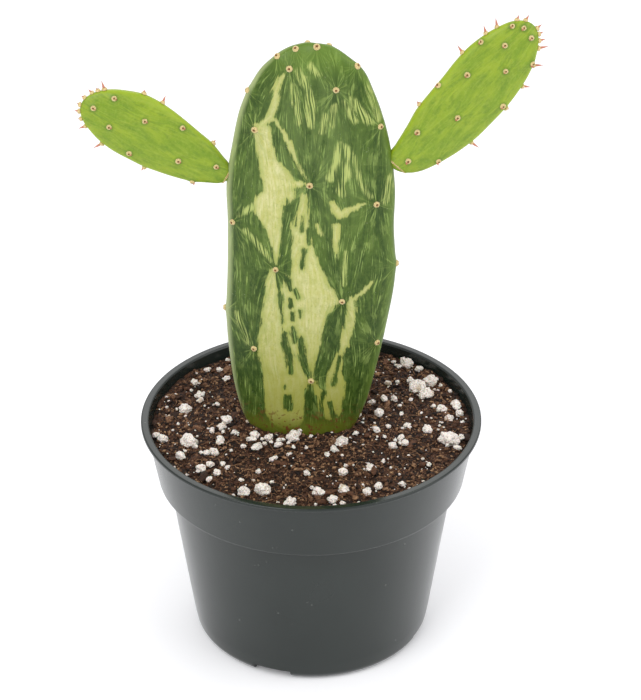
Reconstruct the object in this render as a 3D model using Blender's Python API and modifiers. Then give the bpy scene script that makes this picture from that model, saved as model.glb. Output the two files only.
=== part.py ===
"""A potted paddle cactus: a nursery pot, its potting mix, an old paddle and two young ones.

Lengths are in metres, +Z is up, and the origin is at the middle of the pot's foot.
The plant's front faces -Y. Each paddle is a stem joint of its own, and the small
leaves, areoles and perlite grains are pieces of their own.
"""
import math

import bmesh
import bpy
from mathutils import Matrix, Vector, noise

MM = 0.001
GAP = 0.3 * MM                      # clearance between pieces that touch

# The pot, from the rim down. Radii are outer ones, and each draft narrows the one above.
POT_RIM_RADIUS = 76.2 * MM
POT_HEIGHT = 108.0 * MM
POT_WALL = 1.2 * MM
LIP_OVERHANG = 2.3 * MM
LIP_THICKNESS = 1.6 * MM
BAND_HEIGHT = 29.0 * MM
BAND_DRAFT = 4.9 * MM
STEP_WIDTH = 4.4 * MM
WALL_DRAFT = 9.9 * MM
FOOT_HEIGHT = 9.3 * MM
FOOT_DRAFT = 1.2 * MM
FOOT_CHAMFER = 3.0 * MM             # how far its bottom edge is turned in
CHAMFER_HEIGHT = 2.6 * MM
FOOT_RING_WIDTH = 2.0 * MM
FLOOR_HEIGHT = 5.2 * MM
POT_STEPS = 48

# The drain openings: a notch in the foot ring, and a slot in the floor behind it.
DRAIN_COUNT = 4
NOTCH_WIDTH = 17.8 * MM
NOTCH_HEIGHT = 4.6 * MM
SLOT_WIDTH = 15.0 * MM
SLOT_LENGTH = 6.5 * MM
SLOT_INSET = 0.8 * MM               # from the foot ring's inner side
DRAIN_TURN = math.radians(-110.0)   # the first one, from +X

# The potting mix.
MIX_BELOW_RIM = 5.0 * MM
MIX_LUMP_HEIGHT = 1.3 * MM
MIX_LUMP_SPACING = 17.0 * MM
MIX_RING_COUNT = 5

# The old paddle. Its outline runs from its buried base (0) to its tip (1).
PARENT_LENGTH = 207.0 * MM
PARENT_WIDTH = 73.2 * MM
PARENT_THICKNESS = 20.0 * MM
PARENT_BURIED = 23.0 * MM
PARENT_BACK = 1.5 * MM              # how far behind the pot's axis it stands
PARENT_CUP = 2.5 * MM               # how far its edges curve back
PARENT_TURN = math.radians(-5.0)    # about the pot's axis
# (along, half width as a share of the largest, sideways shift of the middle in mm)
PARENT_OUTLINE = [
    (0.00, 0.00, -5.0), (0.05, 0.44, -4.6), (0.12, 0.685, -4.6), (0.17, 0.787, -4.2),
    (0.24, 0.87, -3.7), (0.36, 0.965, -2.2), (0.48, 1.00, 0.0), (0.59, 0.98, -0.2),
    (0.68, 0.985, -0.2), (0.78, 0.908, 0.2), (0.85, 0.815, 0.0), (0.90, 0.706, 0.3),
    (0.94, 0.59, 0.8), (0.97, 0.42, 0.8), (0.99, 0.26, 0.8), (1.00, 0.00, 0.8)]
# (along, half thickness as a share of the largest)
PARENT_DEPTH = [
    (0.00, 0.00), (0.05, 0.72), (0.12, 1.00), (0.25, 0.97), (0.40, 0.86), (0.60, 0.76),
    (0.80, 0.66), (0.90, 0.57), (0.96, 0.45), (1.00, 0.00)]

# The young paddles. Each stands on the old one's edge, at a height along it. The turn
# is about an upright axis, the lean is from upright towards +X, and the twist is
# about the paddle's own axis.
YOUNG_SUNK = 1.2 * MM               # how far each one's base starts inside the old edge
LEFT_LENGTH = 71.5 * MM
LEFT_WIDTH = 28.4 * MM
LEFT_THICKNESS = 8.6 * MM
LEFT_SEAT = 0.690                   # along the old paddle
LEFT_TURN = math.radians(4.0)
LEFT_LEAN = math.radians(-60.7)
LEFT_TWIST = math.radians(6.0)
LEFT_OUTLINE = [
    (0.00, 0.00, 0.4), (0.05, 0.35, 0.8), (0.10, 0.46, 0.9), (0.20, 0.67, 1.2),
    (0.30, 0.79, 1.4), (0.40, 0.89, 1.9), (0.50, 0.97, 2.4), (0.60, 1.00, 3.0),
    (0.70, 0.985, 3.2), (0.80, 0.87, 3.0), (0.88, 0.71, 3.0), (0.95, 0.48, 2.7),
    (1.00, 0.00, 2.3)]
RIGHT_LENGTH = 85.2 * MM
RIGHT_WIDTH = 29.8 * MM
RIGHT_THICKNESS = 8.6 * MM
RIGHT_SEAT = 0.731
RIGHT_TURN = math.radians(5.0)
RIGHT_LEAN = math.radians(43.4)
RIGHT_TWIST = math.radians(-5.0)
RIGHT_OUTLINE = [
    (0.00, 0.00, 1.0), (0.05, 0.44, 2.2), (0.10, 0.56, 3.2), (0.20, 0.73, 3.7),
    (0.30, 0.88, 3.5), (0.40, 0.95, 3.5), (0.50, 0.975, 3.1), (0.60, 1.00, 2.4),
    (0.70, 0.975, 1.6), (0.80, 0.87, 1.1), (0.88, 0.71, 0.6), (0.95, 0.48, 0.0),
    (1.00, 0.00, 0.0)]
YOUNG_DEPTH = [
    (0.00, 0.00), (0.05, 0.74), (0.15, 0.92), (0.40, 1.00), (0.75, 0.90), (0.90, 0.68),
    (1.00, 0.00)]

# Areoles: small felted cushions. Each place is (along, across) on a paddle's front
# face, where across runs from -1 at its left edge to 1 at its right edge.
AREOLE_RADIUS = 1.5 * MM
AREOLE_HEIGHT = 1.0 * MM
PARENT_AREOLES = [
    (0.953, -0.47), (0.912, 0.43), (0.816, -0.73), (0.827, 0.94), (0.702, 0.01),
    (0.599, -0.92), (0.657, 0.79), (0.505, -0.40), (0.436, 0.41), (0.312, -0.63),
    (0.328, 0.92), (0.245, 0.14), (0.505, 1.00), (0.383, -1.00)]
YOUNG_AREOLE_RADIUS = 1.1 * MM
YOUNG_AREOLE_HEIGHT = 0.8 * MM
LEFT_AREOLES = [(0.93, 0.04), (0.80, -0.33), (0.63, 0.34), (0.34, -0.27), (0.12, 0.28)]
RIGHT_AREOLES = [
    (0.84, -0.37), (0.75, 0.23), (0.61, -0.56), (0.42, 0.05), (0.23, -0.61), (0.09, -0.04)]

# Awl leaves: short cones on the young paddles' edges. Each is (along, side, lean,
# length): the lean is in degrees from straight out towards the tip, the length in mm.
LEAF_RADIUS = 0.9 * MM
LEAF_TIP_RADIUS = 0.15 * MM
LEFT_LEAVES = [
    (0.192, 1, 5, 2.6), (0.576, 1, 5, 4.2), (0.698, 1, 8, 2.4), (0.915, 1, 8, 4.2),
    (0.970, 1, 20, 2.2), (0.489, -1, 8, 2.8), (0.779, -1, 15, 4.5), (0.913, -1, 10, 3.4),
    (0.985, -1, 15, 2.2)]
RIGHT_LEAVES = [
    (0.332, -1, 5, 2.6), (0.666, -1, 8, 4.6), (0.812, -1, 12, 4.0), (0.871, -1, 14, 4.2),
    (0.961, -1, 25, 2.2), (0.362, 1, 6, 5.0), (0.606, 1, 5, 2.2), (0.740, 1, 18, 3.8),
    (0.852, 1, 18, 4.2), (0.930, 1, 20, 4.0), (0.982, 1, 25, 2.0)]

# The largest perlite grains, half buried. Most are placed by (turn about the pot's
# axis in degrees, share of the mix's radius, size in mm). The ones in front of the
# old paddle's foot are placed by (across it, clear of it in mm, size in mm).
PERLITE_GRAINS = [
    (197.5, 0.79, 7.5), (-14.7, 0.88, 8.0), (30.6, 0.79, 7.5), (-111.3, 0.81, 6.5),
    (-98.0, 0.90, 5.5), (-87.0, 0.79, 5.0)]
FOOT_GRAINS = [(-0.10, 0.7, 6.5), (0.78, 7.2, 5.5)]
GRAIN_ROUGHNESS = 0.22              # how uneven a grain is, as a share of its size
GRAIN_LUMPS = 1.6                   # lumps across a grain
GRAIN_FLATNESS = 0.8
GRAIN_RISE = 0.12                   # its middle above the mix, as a share of its size

# The rounding of the pot's corners.
FLOOR_FILLET = 2.0 * MM
STEP_FILLET = 0.8 * MM
LIP_INNER_FILLET = 0.6 * MM
CHAMFER_FILLET = 1.0 * MM
LIP_OUTER_FILLET = 0.8 * MM
LIP_UNDER_FILLET = 0.5 * MM

# How finely the shapes are divided.
PARENT_SEGMENTS = (28, 22)
YOUNG_SEGMENTS = (20, 16)
AREOLE_SEGMENTS = (10, 6)
LEAF_SEGMENTS = 8

SECTION_POWER = 2.6                 # a paddle's cross-section: 2 is an ellipse
MIX_EDGE_FADE = 4.0 * MM            # where the lumps die out beside the pot's wall
CUTTER_SPARE = 5.0 * MM             # how far a cutter runs past what it cuts


def smooth_value(pairs, along):
    """A smooth curve through (along, value) pairs that rounds off at both ends."""
    def turn(share):
        return math.acos(1.0 - 2.0 * min(max(share, 0.0), 1.0))

    xs = [turn(pair[0]) for pair in pairs]
    ys = [pair[1] for pair in pairs]
    x = turn(along)
    i = 0
    while i < len(xs) - 2 and x > xs[i + 1]:
        i += 1

    def slope(k):
        low = max(k - 1, 0)
        high = min(k + 1, len(xs) - 1)
        return (ys[high] - ys[low]) / (xs[high] - xs[low])

    width = xs[i + 1] - xs[i]
    t = (x - xs[i]) / width
    start = ys[i] * (2 * t**3 - 3 * t**2 + 1) + slope(i) * width * (t**3 - 2 * t**2 + t)
    end = ys[i + 1] * (3 * t**2 - 2 * t**3) + slope(i + 1) * width * (t**3 - t**2)
    return start + end


class Paddle:
    """A flat stem joint: local Z runs from base to tip and local -Y is its front."""

    def __init__(self, length, width, thickness, outline, depth, place, cup=0.0):
        self.length = length
        self.width = width
        self.thickness = thickness
        self.shares = [(along, share) for along, share, _ in outline]
        self.shifts = [(along, shift * MM) for along, _, shift in outline]
        self.depth = depth
        self.place = place
        self.cup = cup

    def half_width(self, along):
        return max(smooth_value(self.shares, along), 0.0) * self.width / 2

    def half_depth(self, along):
        return max(smooth_value(self.depth, along), 0.0) * self.thickness / 2

    def middle(self, along):
        return smooth_value(self.shifts, along)

    def cupped(self, from_middle):
        """How far back the paddle's mid surface lies at a distance from its middle."""
        return self.cup * (from_middle / (self.width / 2)) ** 2

    def local_point(self, along, across):
        """The front's point at a share of the length and of the half width."""
        across = min(max(across, -1.0), 1.0)
        bulge = (1.0 - abs(across) ** SECTION_POWER) ** (1.0 / SECTION_POWER)
        from_middle = self.half_width(along) * across
        y = self.cupped(from_middle) - self.half_depth(along) * bulge
        return Vector((self.middle(along) + from_middle, y, along * self.length))

    def point(self, along, across):
        return self.place @ self.local_point(along, across)

    def normal(self, along, across):
        """The outward direction on the front face, or straight out at the two edges."""
        step = 0.01
        low = self.local_point(max(along - step, 0.0), across)
        high = self.local_point(min(along + step, 1.0), across)
        rise = high - low
        if abs(across) > 0.99:
            side = math.copysign(1.0, across)
            outward = Vector((side * rise.z, 0.0, -side * rise.x))
        else:
            left = self.local_point(along, across - step)
            right = self.local_point(along, across + step)
            outward = (right - left).cross(rise)
        return (self.place.to_3x3() @ outward).normalized()

    def tipwards(self):
        return (self.place.to_3x3() @ Vector((0.0, 0.0, 1.0))).normalized()

    def mesh(self, name, around, rows, grow=0.0):
        """The closed body, made by shaping a sphere whose poles are tip and base."""
        bm = bmesh.new()
        bmesh.ops.create_uvsphere(bm, u_segments=around, v_segments=rows, radius=1.0)
        for vert in bm.verts:
            along = (1.0 + vert.co.z) / 2
            flat = math.hypot(vert.co.x, vert.co.y)
            cos_turn = vert.co.x / flat if flat > 1e-6 else 0.0
            sin_turn = vert.co.y / flat if flat > 1e-6 else 0.0
            power = 2.0 / SECTION_POWER
            x = math.copysign(abs(cos_turn) ** power, cos_turn)
            y = math.copysign(abs(sin_turn) ** power, sin_turn)
            swell = grow * min(flat * 4.0, 1.0)
            from_middle = x * (self.half_width(along) + swell)
            vert.co.x = self.middle(along) + from_middle
            vert.co.y = self.cupped(from_middle) + y * (self.half_depth(along) + swell)
            vert.co.z = along * (self.length + 2 * grow) - grow
        mesh = bpy.data.meshes.new(name)
        bm.to_mesh(mesh)
        bm.free()
        mesh.transform(self.place)
        return mesh


def clear_scene():
    for obj in list(bpy.data.objects):
        bpy.data.objects.remove(obj, do_unlink=True)


def new_collection(name):
    collection = bpy.data.collections.new(name)
    bpy.context.scene.collection.children.link(collection)
    return collection


def new_material(name, colour, roughness, metallic=0.0):
    material = bpy.data.materials.new(name)
    material.use_nodes = True
    shader = material.node_tree.nodes["Principled BSDF"]
    shader.inputs["Base Color"].default_value = (*colour, 1.0)
    shader.inputs["Roughness"].default_value = roughness
    shader.inputs["Metallic"].default_value = metallic
    material.diffuse_color = (*colour, 1.0)
    return material


def add_object(name, mesh, collection, material=None):
    obj = bpy.data.objects.new(name, mesh)
    collection.objects.link(obj)
    if material is not None:
        mesh.materials.append(material)
        mesh.shade_smooth()
        mesh.set_sharp_from_angle(angle=math.radians(35.0))
    return obj


def add_cutter(name, mesh):
    obj = add_object(name, mesh, cutters)
    obj.hide_render = True
    obj.display_type = 'WIRE'
    return obj


def cut(obj, cutter):
    modifier = obj.modifiers.new("cut_" + cutter.name, 'BOOLEAN')
    modifier.operation = 'DIFFERENCE'
    modifier.object = cutter


def rounded(corners):
    """A path of (radius, height, fillet) corners, with each fillet as a short arc."""
    path = []
    for i, (r, z, fillet) in enumerate(corners):
        here = Vector((r, z))
        if fillet == 0.0 or i in (0, len(corners) - 1):
            path.append(here)
            continue
        before = (Vector(corners[i - 1][:2]) - here).normalized()
        after = (Vector(corners[i + 1][:2]) - here).normalized()
        for share in (0.0, 0.5, 1.0):
            blend = (here + before * fillet * (1 - share)).lerp(here + after * fillet * share, share)
            path.append(blend)
    return path


def turned(name, path, collection, material, steps):
    """A turned solid from a (radius, height) path that starts and ends on the axis."""
    mesh = bpy.data.meshes.new(name)
    points = [(point.x, 0.0, point.y) for point in path]
    mesh.from_pydata(points, [(i, i + 1) for i in range(len(points) - 1)], [])
    obj = add_object(name, mesh, collection)
    screw = obj.modifiers.new("turn", 'SCREW')
    screw.steps = steps
    screw.render_steps = steps
    screw.use_merge_vertices = True
    screw.merge_threshold = 0.00001
    screw.use_smooth_shade = True
    mesh.materials.append(material)
    return obj


def turned_mesh(obj, name):
    """The turned object as a plain mesh, with the object itself removed."""
    graph = bpy.context.evaluated_depsgraph_get()
    mesh = bpy.data.meshes.new_from_object(obj.evaluated_get(graph))
    mesh.name = name
    bpy.data.objects.remove(obj, do_unlink=True)
    return mesh


# The pot's radii, worked out down its outside.
BAND_TOP_RADIUS = POT_RIM_RADIUS - LIP_OVERHANG
BAND_FOOT_RADIUS = BAND_TOP_RADIUS - BAND_DRAFT
WALL_TOP_RADIUS = BAND_FOOT_RADIUS - STEP_WIDTH
WALL_FOOT_RADIUS = WALL_TOP_RADIUS - WALL_DRAFT
CHAMFER_RADIUS = WALL_FOOT_RADIUS - FOOT_DRAFT
FOOT_RADIUS = CHAMFER_RADIUS - FOOT_CHAMFER
STEP_TOP = POT_HEIGHT - BAND_HEIGHT
FLOOR_TOP = FLOOR_HEIGHT + POT_WALL
MIX_TOP = POT_HEIGHT - MIX_BELOW_RIM


def pot_inside(clearance):
    """The path of the pot's inner side, from the floor's middle up to the band."""
    wall = POT_WALL + clearance
    slope = FOOT_DRAFT / (FOOT_HEIGHT - CHAMFER_HEIGHT)
    foot = CHAMFER_RADIUS + slope * (FLOOR_TOP - CHAMFER_HEIGHT)
    return [
        (0.0, FLOOR_TOP + clearance, 0.0),
        (foot - wall, FLOOR_TOP + clearance, FLOOR_FILLET),
        (WALL_FOOT_RADIUS - wall, FOOT_HEIGHT, 0.0),
        (WALL_TOP_RADIUS - wall, STEP_TOP + wall, STEP_FILLET),
        (BAND_FOOT_RADIUS - wall, STEP_TOP + wall, STEP_FILLET)]


def drain_box(turn, inner, outer, width, low, high):
    """A box that spans two radii and two heights, turned about the pot's axis."""
    bm = bmesh.new()
    size = Matrix.Diagonal((outer - inner, width, high - low, 1.0))
    middle = Matrix.Translation(((outer + inner) / 2, 0.0, (high + low) / 2))
    bmesh.ops.create_cube(bm, size=1.0, matrix=turn @ middle @ size)
    mesh = bpy.data.meshes.new("drain_box")
    bm.to_mesh(mesh)
    bm.free()
    return mesh


def build_pot():
    band_inner = BAND_TOP_RADIUS - POT_WALL
    path = pot_inside(0.0) + [
        (band_inner, POT_HEIGHT, LIP_INNER_FILLET),
        (POT_RIM_RADIUS, POT_HEIGHT, LIP_OUTER_FILLET),
        (POT_RIM_RADIUS, POT_HEIGHT - LIP_THICKNESS, LIP_UNDER_FILLET),
        (BAND_TOP_RADIUS, POT_HEIGHT - LIP_THICKNESS, 0.0),
        (BAND_FOOT_RADIUS, STEP_TOP, STEP_FILLET),
        (WALL_TOP_RADIUS, STEP_TOP, STEP_FILLET),
        (WALL_FOOT_RADIUS, FOOT_HEIGHT, 0.0),
        (CHAMFER_RADIUS, CHAMFER_HEIGHT, CHAMFER_FILLET),
        (FOOT_RADIUS, 0.0, 0.0),
        (FOOT_RADIUS - FOOT_RING_WIDTH, 0.0, 0.0),
        (FOOT_RADIUS - FOOT_RING_WIDTH, FLOOR_HEIGHT, 0.0),
        (0.0, FLOOR_HEIGHT, 0.0)]
    pot = turned("nursery_pot", rounded(path), plant, pot_plastic, POT_STEPS)
    ring_inner = FOOT_RADIUS - FOOT_RING_WIDTH
    slot_outer = ring_inner - SLOT_INSET
    notch_outer = WALL_FOOT_RADIUS + CUTTER_SPARE
    notch = (ring_inner - 1 * MM, notch_outer, NOTCH_WIDTH, -CUTTER_SPARE, NOTCH_HEIGHT)
    slot = (slot_outer - SLOT_LENGTH, slot_outer, SLOT_WIDTH, -CUTTER_SPARE, FLOOR_TOP + 2 * MM)
    for i in range(DRAIN_COUNT):
        turn = Matrix.Rotation(DRAIN_TURN + i * math.tau / DRAIN_COUNT, 4, 'Z')
        for kind, box in (("notch", notch), ("slot", slot)):
            cut(pot, add_cutter(f"drain_{kind}_{i + 1}", drain_box(turn, *box)))
    return pot


def mix_height(x, y):
    """The height of the potting mix's lumpy top."""
    place = Vector((x, y, 0.0)) / MIX_LUMP_SPACING
    return MIX_TOP + MIX_LUMP_HEIGHT * noise.noise(place)


def grain_mesh(name, x, y, size, grow=0.0):
    """A rough perlite grain, half sunk in the mix."""
    bm = bmesh.new()
    bmesh.ops.create_icosphere(bm, subdivisions=2, radius=1.0)
    for vert in bm.verts:
        uneven = noise.noise(vert.co * GRAIN_LUMPS + Vector((x, y, 0.0)) / MM)
        rough = 1.0 + GRAIN_ROUGHNESS * uneven
        vert.co = vert.co * (rough * size / 2 + grow)
        vert.co.z *= GRAIN_FLATNESS
    rise = mix_height(x, y) + GRAIN_RISE * size
    bmesh.ops.translate(bm, verts=bm.verts, vec=(x, y, rise))
    mesh = bpy.data.meshes.new(name)
    bm.to_mesh(mesh)
    bm.free()
    return mesh


def mix_edge():
    """The radius of the mix's top, a gap clear of the pot's inner side."""
    band_inner = BAND_TOP_RADIUS - POT_WALL - GAP
    slope = BAND_DRAFT / (BAND_HEIGHT - LIP_THICKNESS)
    return band_inner - slope * (POT_HEIGHT - LIP_THICKNESS - MIX_TOP)


def grain_places(parent):
    """Every large grain as (x, y, size), in metres."""
    places = []
    for degrees, share, size in PERLITE_GRAINS:
        turn = math.radians(degrees)
        reach = share * mix_edge()
        places.append((reach * math.cos(turn), reach * math.sin(turn), size * MM))
    for across, clear, size in FOOT_GRAINS:
        skin = parent.point(PARENT_BURIED / parent.length, across)
        largest = size * MM * (1 + GRAIN_ROUGHNESS) / 2
        places.append((skin.x, skin.y - clear * MM - largest, size * MM))
    return places


def build_mix(parent):
    edge = mix_edge()
    rings = [(edge * i / MIX_RING_COUNT, MIX_TOP, 0.0) for i in range(MIX_RING_COUNT, -1, -1)]
    path = rounded(pot_inside(GAP) + rings)
    rough = turned("potting_mix_rough", path, plant, mix_brown, POT_STEPS)
    mesh = turned_mesh(rough, "potting_mix")
    for vert in mesh.vertices:
        if vert.co.z > MIX_TOP - 0.1 * MM:
            inside = min((edge - math.hypot(vert.co.x, vert.co.y)) / MIX_EDGE_FADE, 1.0)
            lump = mix_height(vert.co.x, vert.co.y) - MIX_TOP
            vert.co.z = MIX_TOP + lump * max(inside, 0.0)
    mix = add_object("potting_mix", mesh, plant)
    mesh.shade_smooth()
    mesh.set_sharp_from_angle(angle=math.radians(35.0))
    cut(mix, add_cutter("parent_seat", parent.mesh("parent_seat", *PARENT_SEGMENTS, GAP)))
    for i, place in enumerate(grain_places(parent), 1):
        seat = f"grain_seat_{i:02d}"
        name = f"perlite_grain_{i:02d}"
        cut(mix, add_cutter(seat, grain_mesh(seat, *place, GAP)))
        add_object(name, grain_mesh(name, *place), plant, perlite_white)


def build_areoles(paddle, places, name, radius, height):
    """Felted cushions, a gap clear of the skin that they sit on."""
    for i, (along, across) in enumerate(places, 1):
        outward = paddle.normal(along, across)
        bm = bmesh.new()
        around, rows = AREOLE_SEGMENTS
        bmesh.ops.create_uvsphere(bm, u_segments=around, v_segments=rows, radius=1.0)
        centre = paddle.point(along, across) + outward * (GAP + height / 2)
        size = Matrix.Diagonal((radius, radius, height / 2, 1.0))
        turn = outward.to_track_quat('Z', 'Y').to_matrix().to_4x4()
        bmesh.ops.transform(bm, verts=bm.verts, matrix=Matrix.Translation(centre) @ turn @ size)
        mesh = bpy.data.meshes.new(f"{name}_{i:02d}")
        bm.to_mesh(mesh)
        bm.free()
        add_object(mesh.name, mesh, plant, areole_felt)


def build_leaves(paddle, places, name):
    """Awl leaves, each a cone that stands a gap clear of the skin and leans tipwards."""
    for i, (along, side, degrees, length) in enumerate(places, 1):
        outward = paddle.normal(along, side)
        lean = math.radians(degrees)
        direction = (outward * math.cos(lean) + paddle.tipwards() * math.sin(lean)).normalized()
        bm = bmesh.new()
        bmesh.ops.create_cone(bm, cap_ends=True, segments=LEAF_SEGMENTS, radius1=LEAF_RADIUS,
                              radius2=LEAF_TIP_RADIUS, depth=length * MM)
        foot = GAP + LEAF_RADIUS * abs(math.sin(lean))
        centre = paddle.point(along, side) + outward * foot + direction * length * MM / 2
        turn = direction.to_track_quat('Z', 'Y').to_matrix().to_4x4()
        bmesh.ops.transform(bm, verts=bm.verts, matrix=Matrix.Translation(centre) @ turn)
        mesh = bpy.data.meshes.new(f"{name}_{i:02d}")
        bm.to_mesh(mesh)
        bm.free()
        add_object(mesh.name, mesh, plant, leaf_red)


def seat_on_edge(parent, seat, side, turn, lean, twist):
    """The place of a young paddle whose base starts just inside the old one's edge."""
    inside = parent.point(seat, side) - parent.normal(seat, side) * YOUNG_SUNK
    upright = Matrix.Rotation(turn, 4, 'Z') @ Matrix.Rotation(lean, 4, 'Y')
    return Matrix.Translation(inside) @ upright @ Matrix.Rotation(twist, 4, 'Z')


def old_paddle():
    foot = Matrix.Translation((0.0, PARENT_BACK, MIX_TOP - PARENT_BURIED))
    place = foot @ Matrix.Rotation(PARENT_TURN, 4, 'Z')
    return Paddle(PARENT_LENGTH, PARENT_WIDTH, PARENT_THICKNESS, PARENT_OUTLINE,
                  PARENT_DEPTH, place, PARENT_CUP)


def left_paddle(parent):
    place = seat_on_edge(parent, LEFT_SEAT, -1.0, LEFT_TURN, LEFT_LEAN, LEFT_TWIST)
    return Paddle(LEFT_LENGTH, LEFT_WIDTH, LEFT_THICKNESS, LEFT_OUTLINE, YOUNG_DEPTH, place)


def right_paddle(parent):
    place = seat_on_edge(parent, RIGHT_SEAT, 1.0, RIGHT_TURN, RIGHT_LEAN, RIGHT_TWIST)
    return Paddle(RIGHT_LENGTH, RIGHT_WIDTH, RIGHT_THICKNESS, RIGHT_OUTLINE, YOUNG_DEPTH, place)


clear_scene()
plant = new_collection("potted_paddle_cactus")
cutters = new_collection("cutters")
pot_plastic = new_material("pot_plastic", (0.055, 0.068, 0.062), 0.35)
mix_brown = new_material("mix_brown", (0.045, 0.025, 0.015), 0.95)
perlite_white = new_material("perlite_white", (0.80, 0.79, 0.75), 0.85)
old_skin = new_material("old_skin", (0.060, 0.160, 0.030), 0.45)
young_skin = new_material("young_skin", (0.250, 0.420, 0.030), 0.40)
areole_felt = new_material("areole_felt", (0.55, 0.42, 0.25), 0.90)
leaf_red = new_material("leaf_red", (0.60, 0.25, 0.16), 0.55)

parent_stem = old_paddle()
left_stem = left_paddle(parent_stem)
right_stem = right_paddle(parent_stem)

build_pot()
build_mix(parent_stem)
add_object("parent_paddle", parent_stem.mesh("parent_paddle", *PARENT_SEGMENTS), plant, old_skin)
joint_mesh = parent_stem.mesh("parent_joint", *PARENT_SEGMENTS, GAP)
joint_cutter = add_cutter("parent_joint", joint_mesh)
for stem, name in ((left_stem, "left_young_paddle"), (right_stem, "right_young_paddle")):
    cut(add_object(name, stem.mesh(name, *YOUNG_SEGMENTS), plant, young_skin), joint_cutter)
build_areoles(parent_stem, PARENT_AREOLES, "parent_areole", AREOLE_RADIUS, AREOLE_HEIGHT)
for stem, places, name in ((left_stem, LEFT_AREOLES, "left_areole"),
                           (right_stem, RIGHT_AREOLES, "right_areole")):
    build_areoles(stem, places, name, YOUNG_AREOLE_RADIUS, YOUNG_AREOLE_HEIGHT)
build_leaves(left_stem, LEFT_LEAVES, "left_leaf")
build_leaves(right_stem, RIGHT_LEAVES, "right_leaf")
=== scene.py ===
"""The looks of a potted paddle cactus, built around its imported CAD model.

Lengths are in metres and +Z is up, unless a name or comment says millimetres. The
paddles, pot, mix, perlite, areoles and leaves are made again here in fine detail, each
where its CAD node stands, and every one of them rides on the body "root".
"""

import math

import bmesh
import bpy
import numpy as np
from mathutils import Matrix, Vector, noise


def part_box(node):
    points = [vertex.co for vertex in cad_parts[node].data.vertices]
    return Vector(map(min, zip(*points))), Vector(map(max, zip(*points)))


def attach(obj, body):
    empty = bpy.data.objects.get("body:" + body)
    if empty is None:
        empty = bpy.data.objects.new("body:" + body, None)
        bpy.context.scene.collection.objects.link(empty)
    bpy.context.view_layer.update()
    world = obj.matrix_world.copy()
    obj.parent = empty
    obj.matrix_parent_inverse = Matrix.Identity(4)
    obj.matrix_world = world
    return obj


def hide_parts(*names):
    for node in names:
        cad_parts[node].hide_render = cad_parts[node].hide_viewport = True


MM = 0.001

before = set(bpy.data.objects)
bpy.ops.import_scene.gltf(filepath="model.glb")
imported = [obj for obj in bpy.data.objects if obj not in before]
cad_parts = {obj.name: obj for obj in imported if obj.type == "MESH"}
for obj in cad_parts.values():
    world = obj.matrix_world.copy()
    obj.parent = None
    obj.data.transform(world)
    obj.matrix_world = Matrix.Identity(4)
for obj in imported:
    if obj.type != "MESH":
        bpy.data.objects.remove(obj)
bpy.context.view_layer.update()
pot_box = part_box("nursery_pot")
parent_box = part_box("parent_paddle")

# ---------------------------------------------------------------- sizes

RIM_RADIUS = pot_box[1].x
POT_HEIGHT = pot_box[1].z
MIX_BELOW_RIM = 5.0 * MM
MIX_TOP = POT_HEIGHT - MIX_BELOW_RIM
MIX_CLEAR = 0.3 * MM
# The lumps on the mix's top: (height, spacing, place in the noise) in mm.
MIX_LUMPS = [(1.3, 17.0, 0.0), (0.9, 6.5, 3.0), (0.55, 2.6, 7.0)]

# The pot's outside, from the rim down.
POT_WALL = 1.2 * MM
LIP_OVERHANG = 2.3 * MM
LIP_THICKNESS = 1.6 * MM
BAND_HEIGHT = 29.0 * MM
BAND_DRAFT = 4.9 * MM
STEP_WIDTH = 4.4 * MM
WALL_DRAFT = 9.9 * MM
FOOT_HEIGHT = 9.3 * MM
FOOT_DRAFT = 1.2 * MM
FOOT_CHAMFER = 3.0 * MM
CHAMFER_HEIGHT = 2.6 * MM
FOOT_RING_WIDTH = 2.0 * MM
FLOOR_HEIGHT = 5.2 * MM
DRAIN_COUNT = 4
DRAIN_TURN = math.radians(-110.0)
NOTCH_WIDTH = 17.8 * MM
NOTCH_HEIGHT = 4.6 * MM
SLOT_WIDTH = 15.0 * MM
SLOT_LENGTH = 6.5 * MM
SLOT_INSET = 0.8 * MM
DRAIN_CLEAR = 5.0 * MM                  # how far the drain cutters overrun
POT_STEPS = 240

# Radii and heights that follow from those.
BAND_TOP_RADIUS = RIM_RADIUS - LIP_OVERHANG
BAND_FOOT_RADIUS = BAND_TOP_RADIUS - BAND_DRAFT
WALL_TOP_RADIUS = BAND_FOOT_RADIUS - STEP_WIDTH
WALL_FOOT_RADIUS = WALL_TOP_RADIUS - WALL_DRAFT
CHAMFER_RADIUS = WALL_FOOT_RADIUS - FOOT_DRAFT
FOOT_RADIUS = CHAMFER_RADIUS - FOOT_CHAMFER
STEP_TOP = POT_HEIGHT - BAND_HEIGHT
FLOOR_TOP = FLOOR_HEIGHT + POT_WALL

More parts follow.
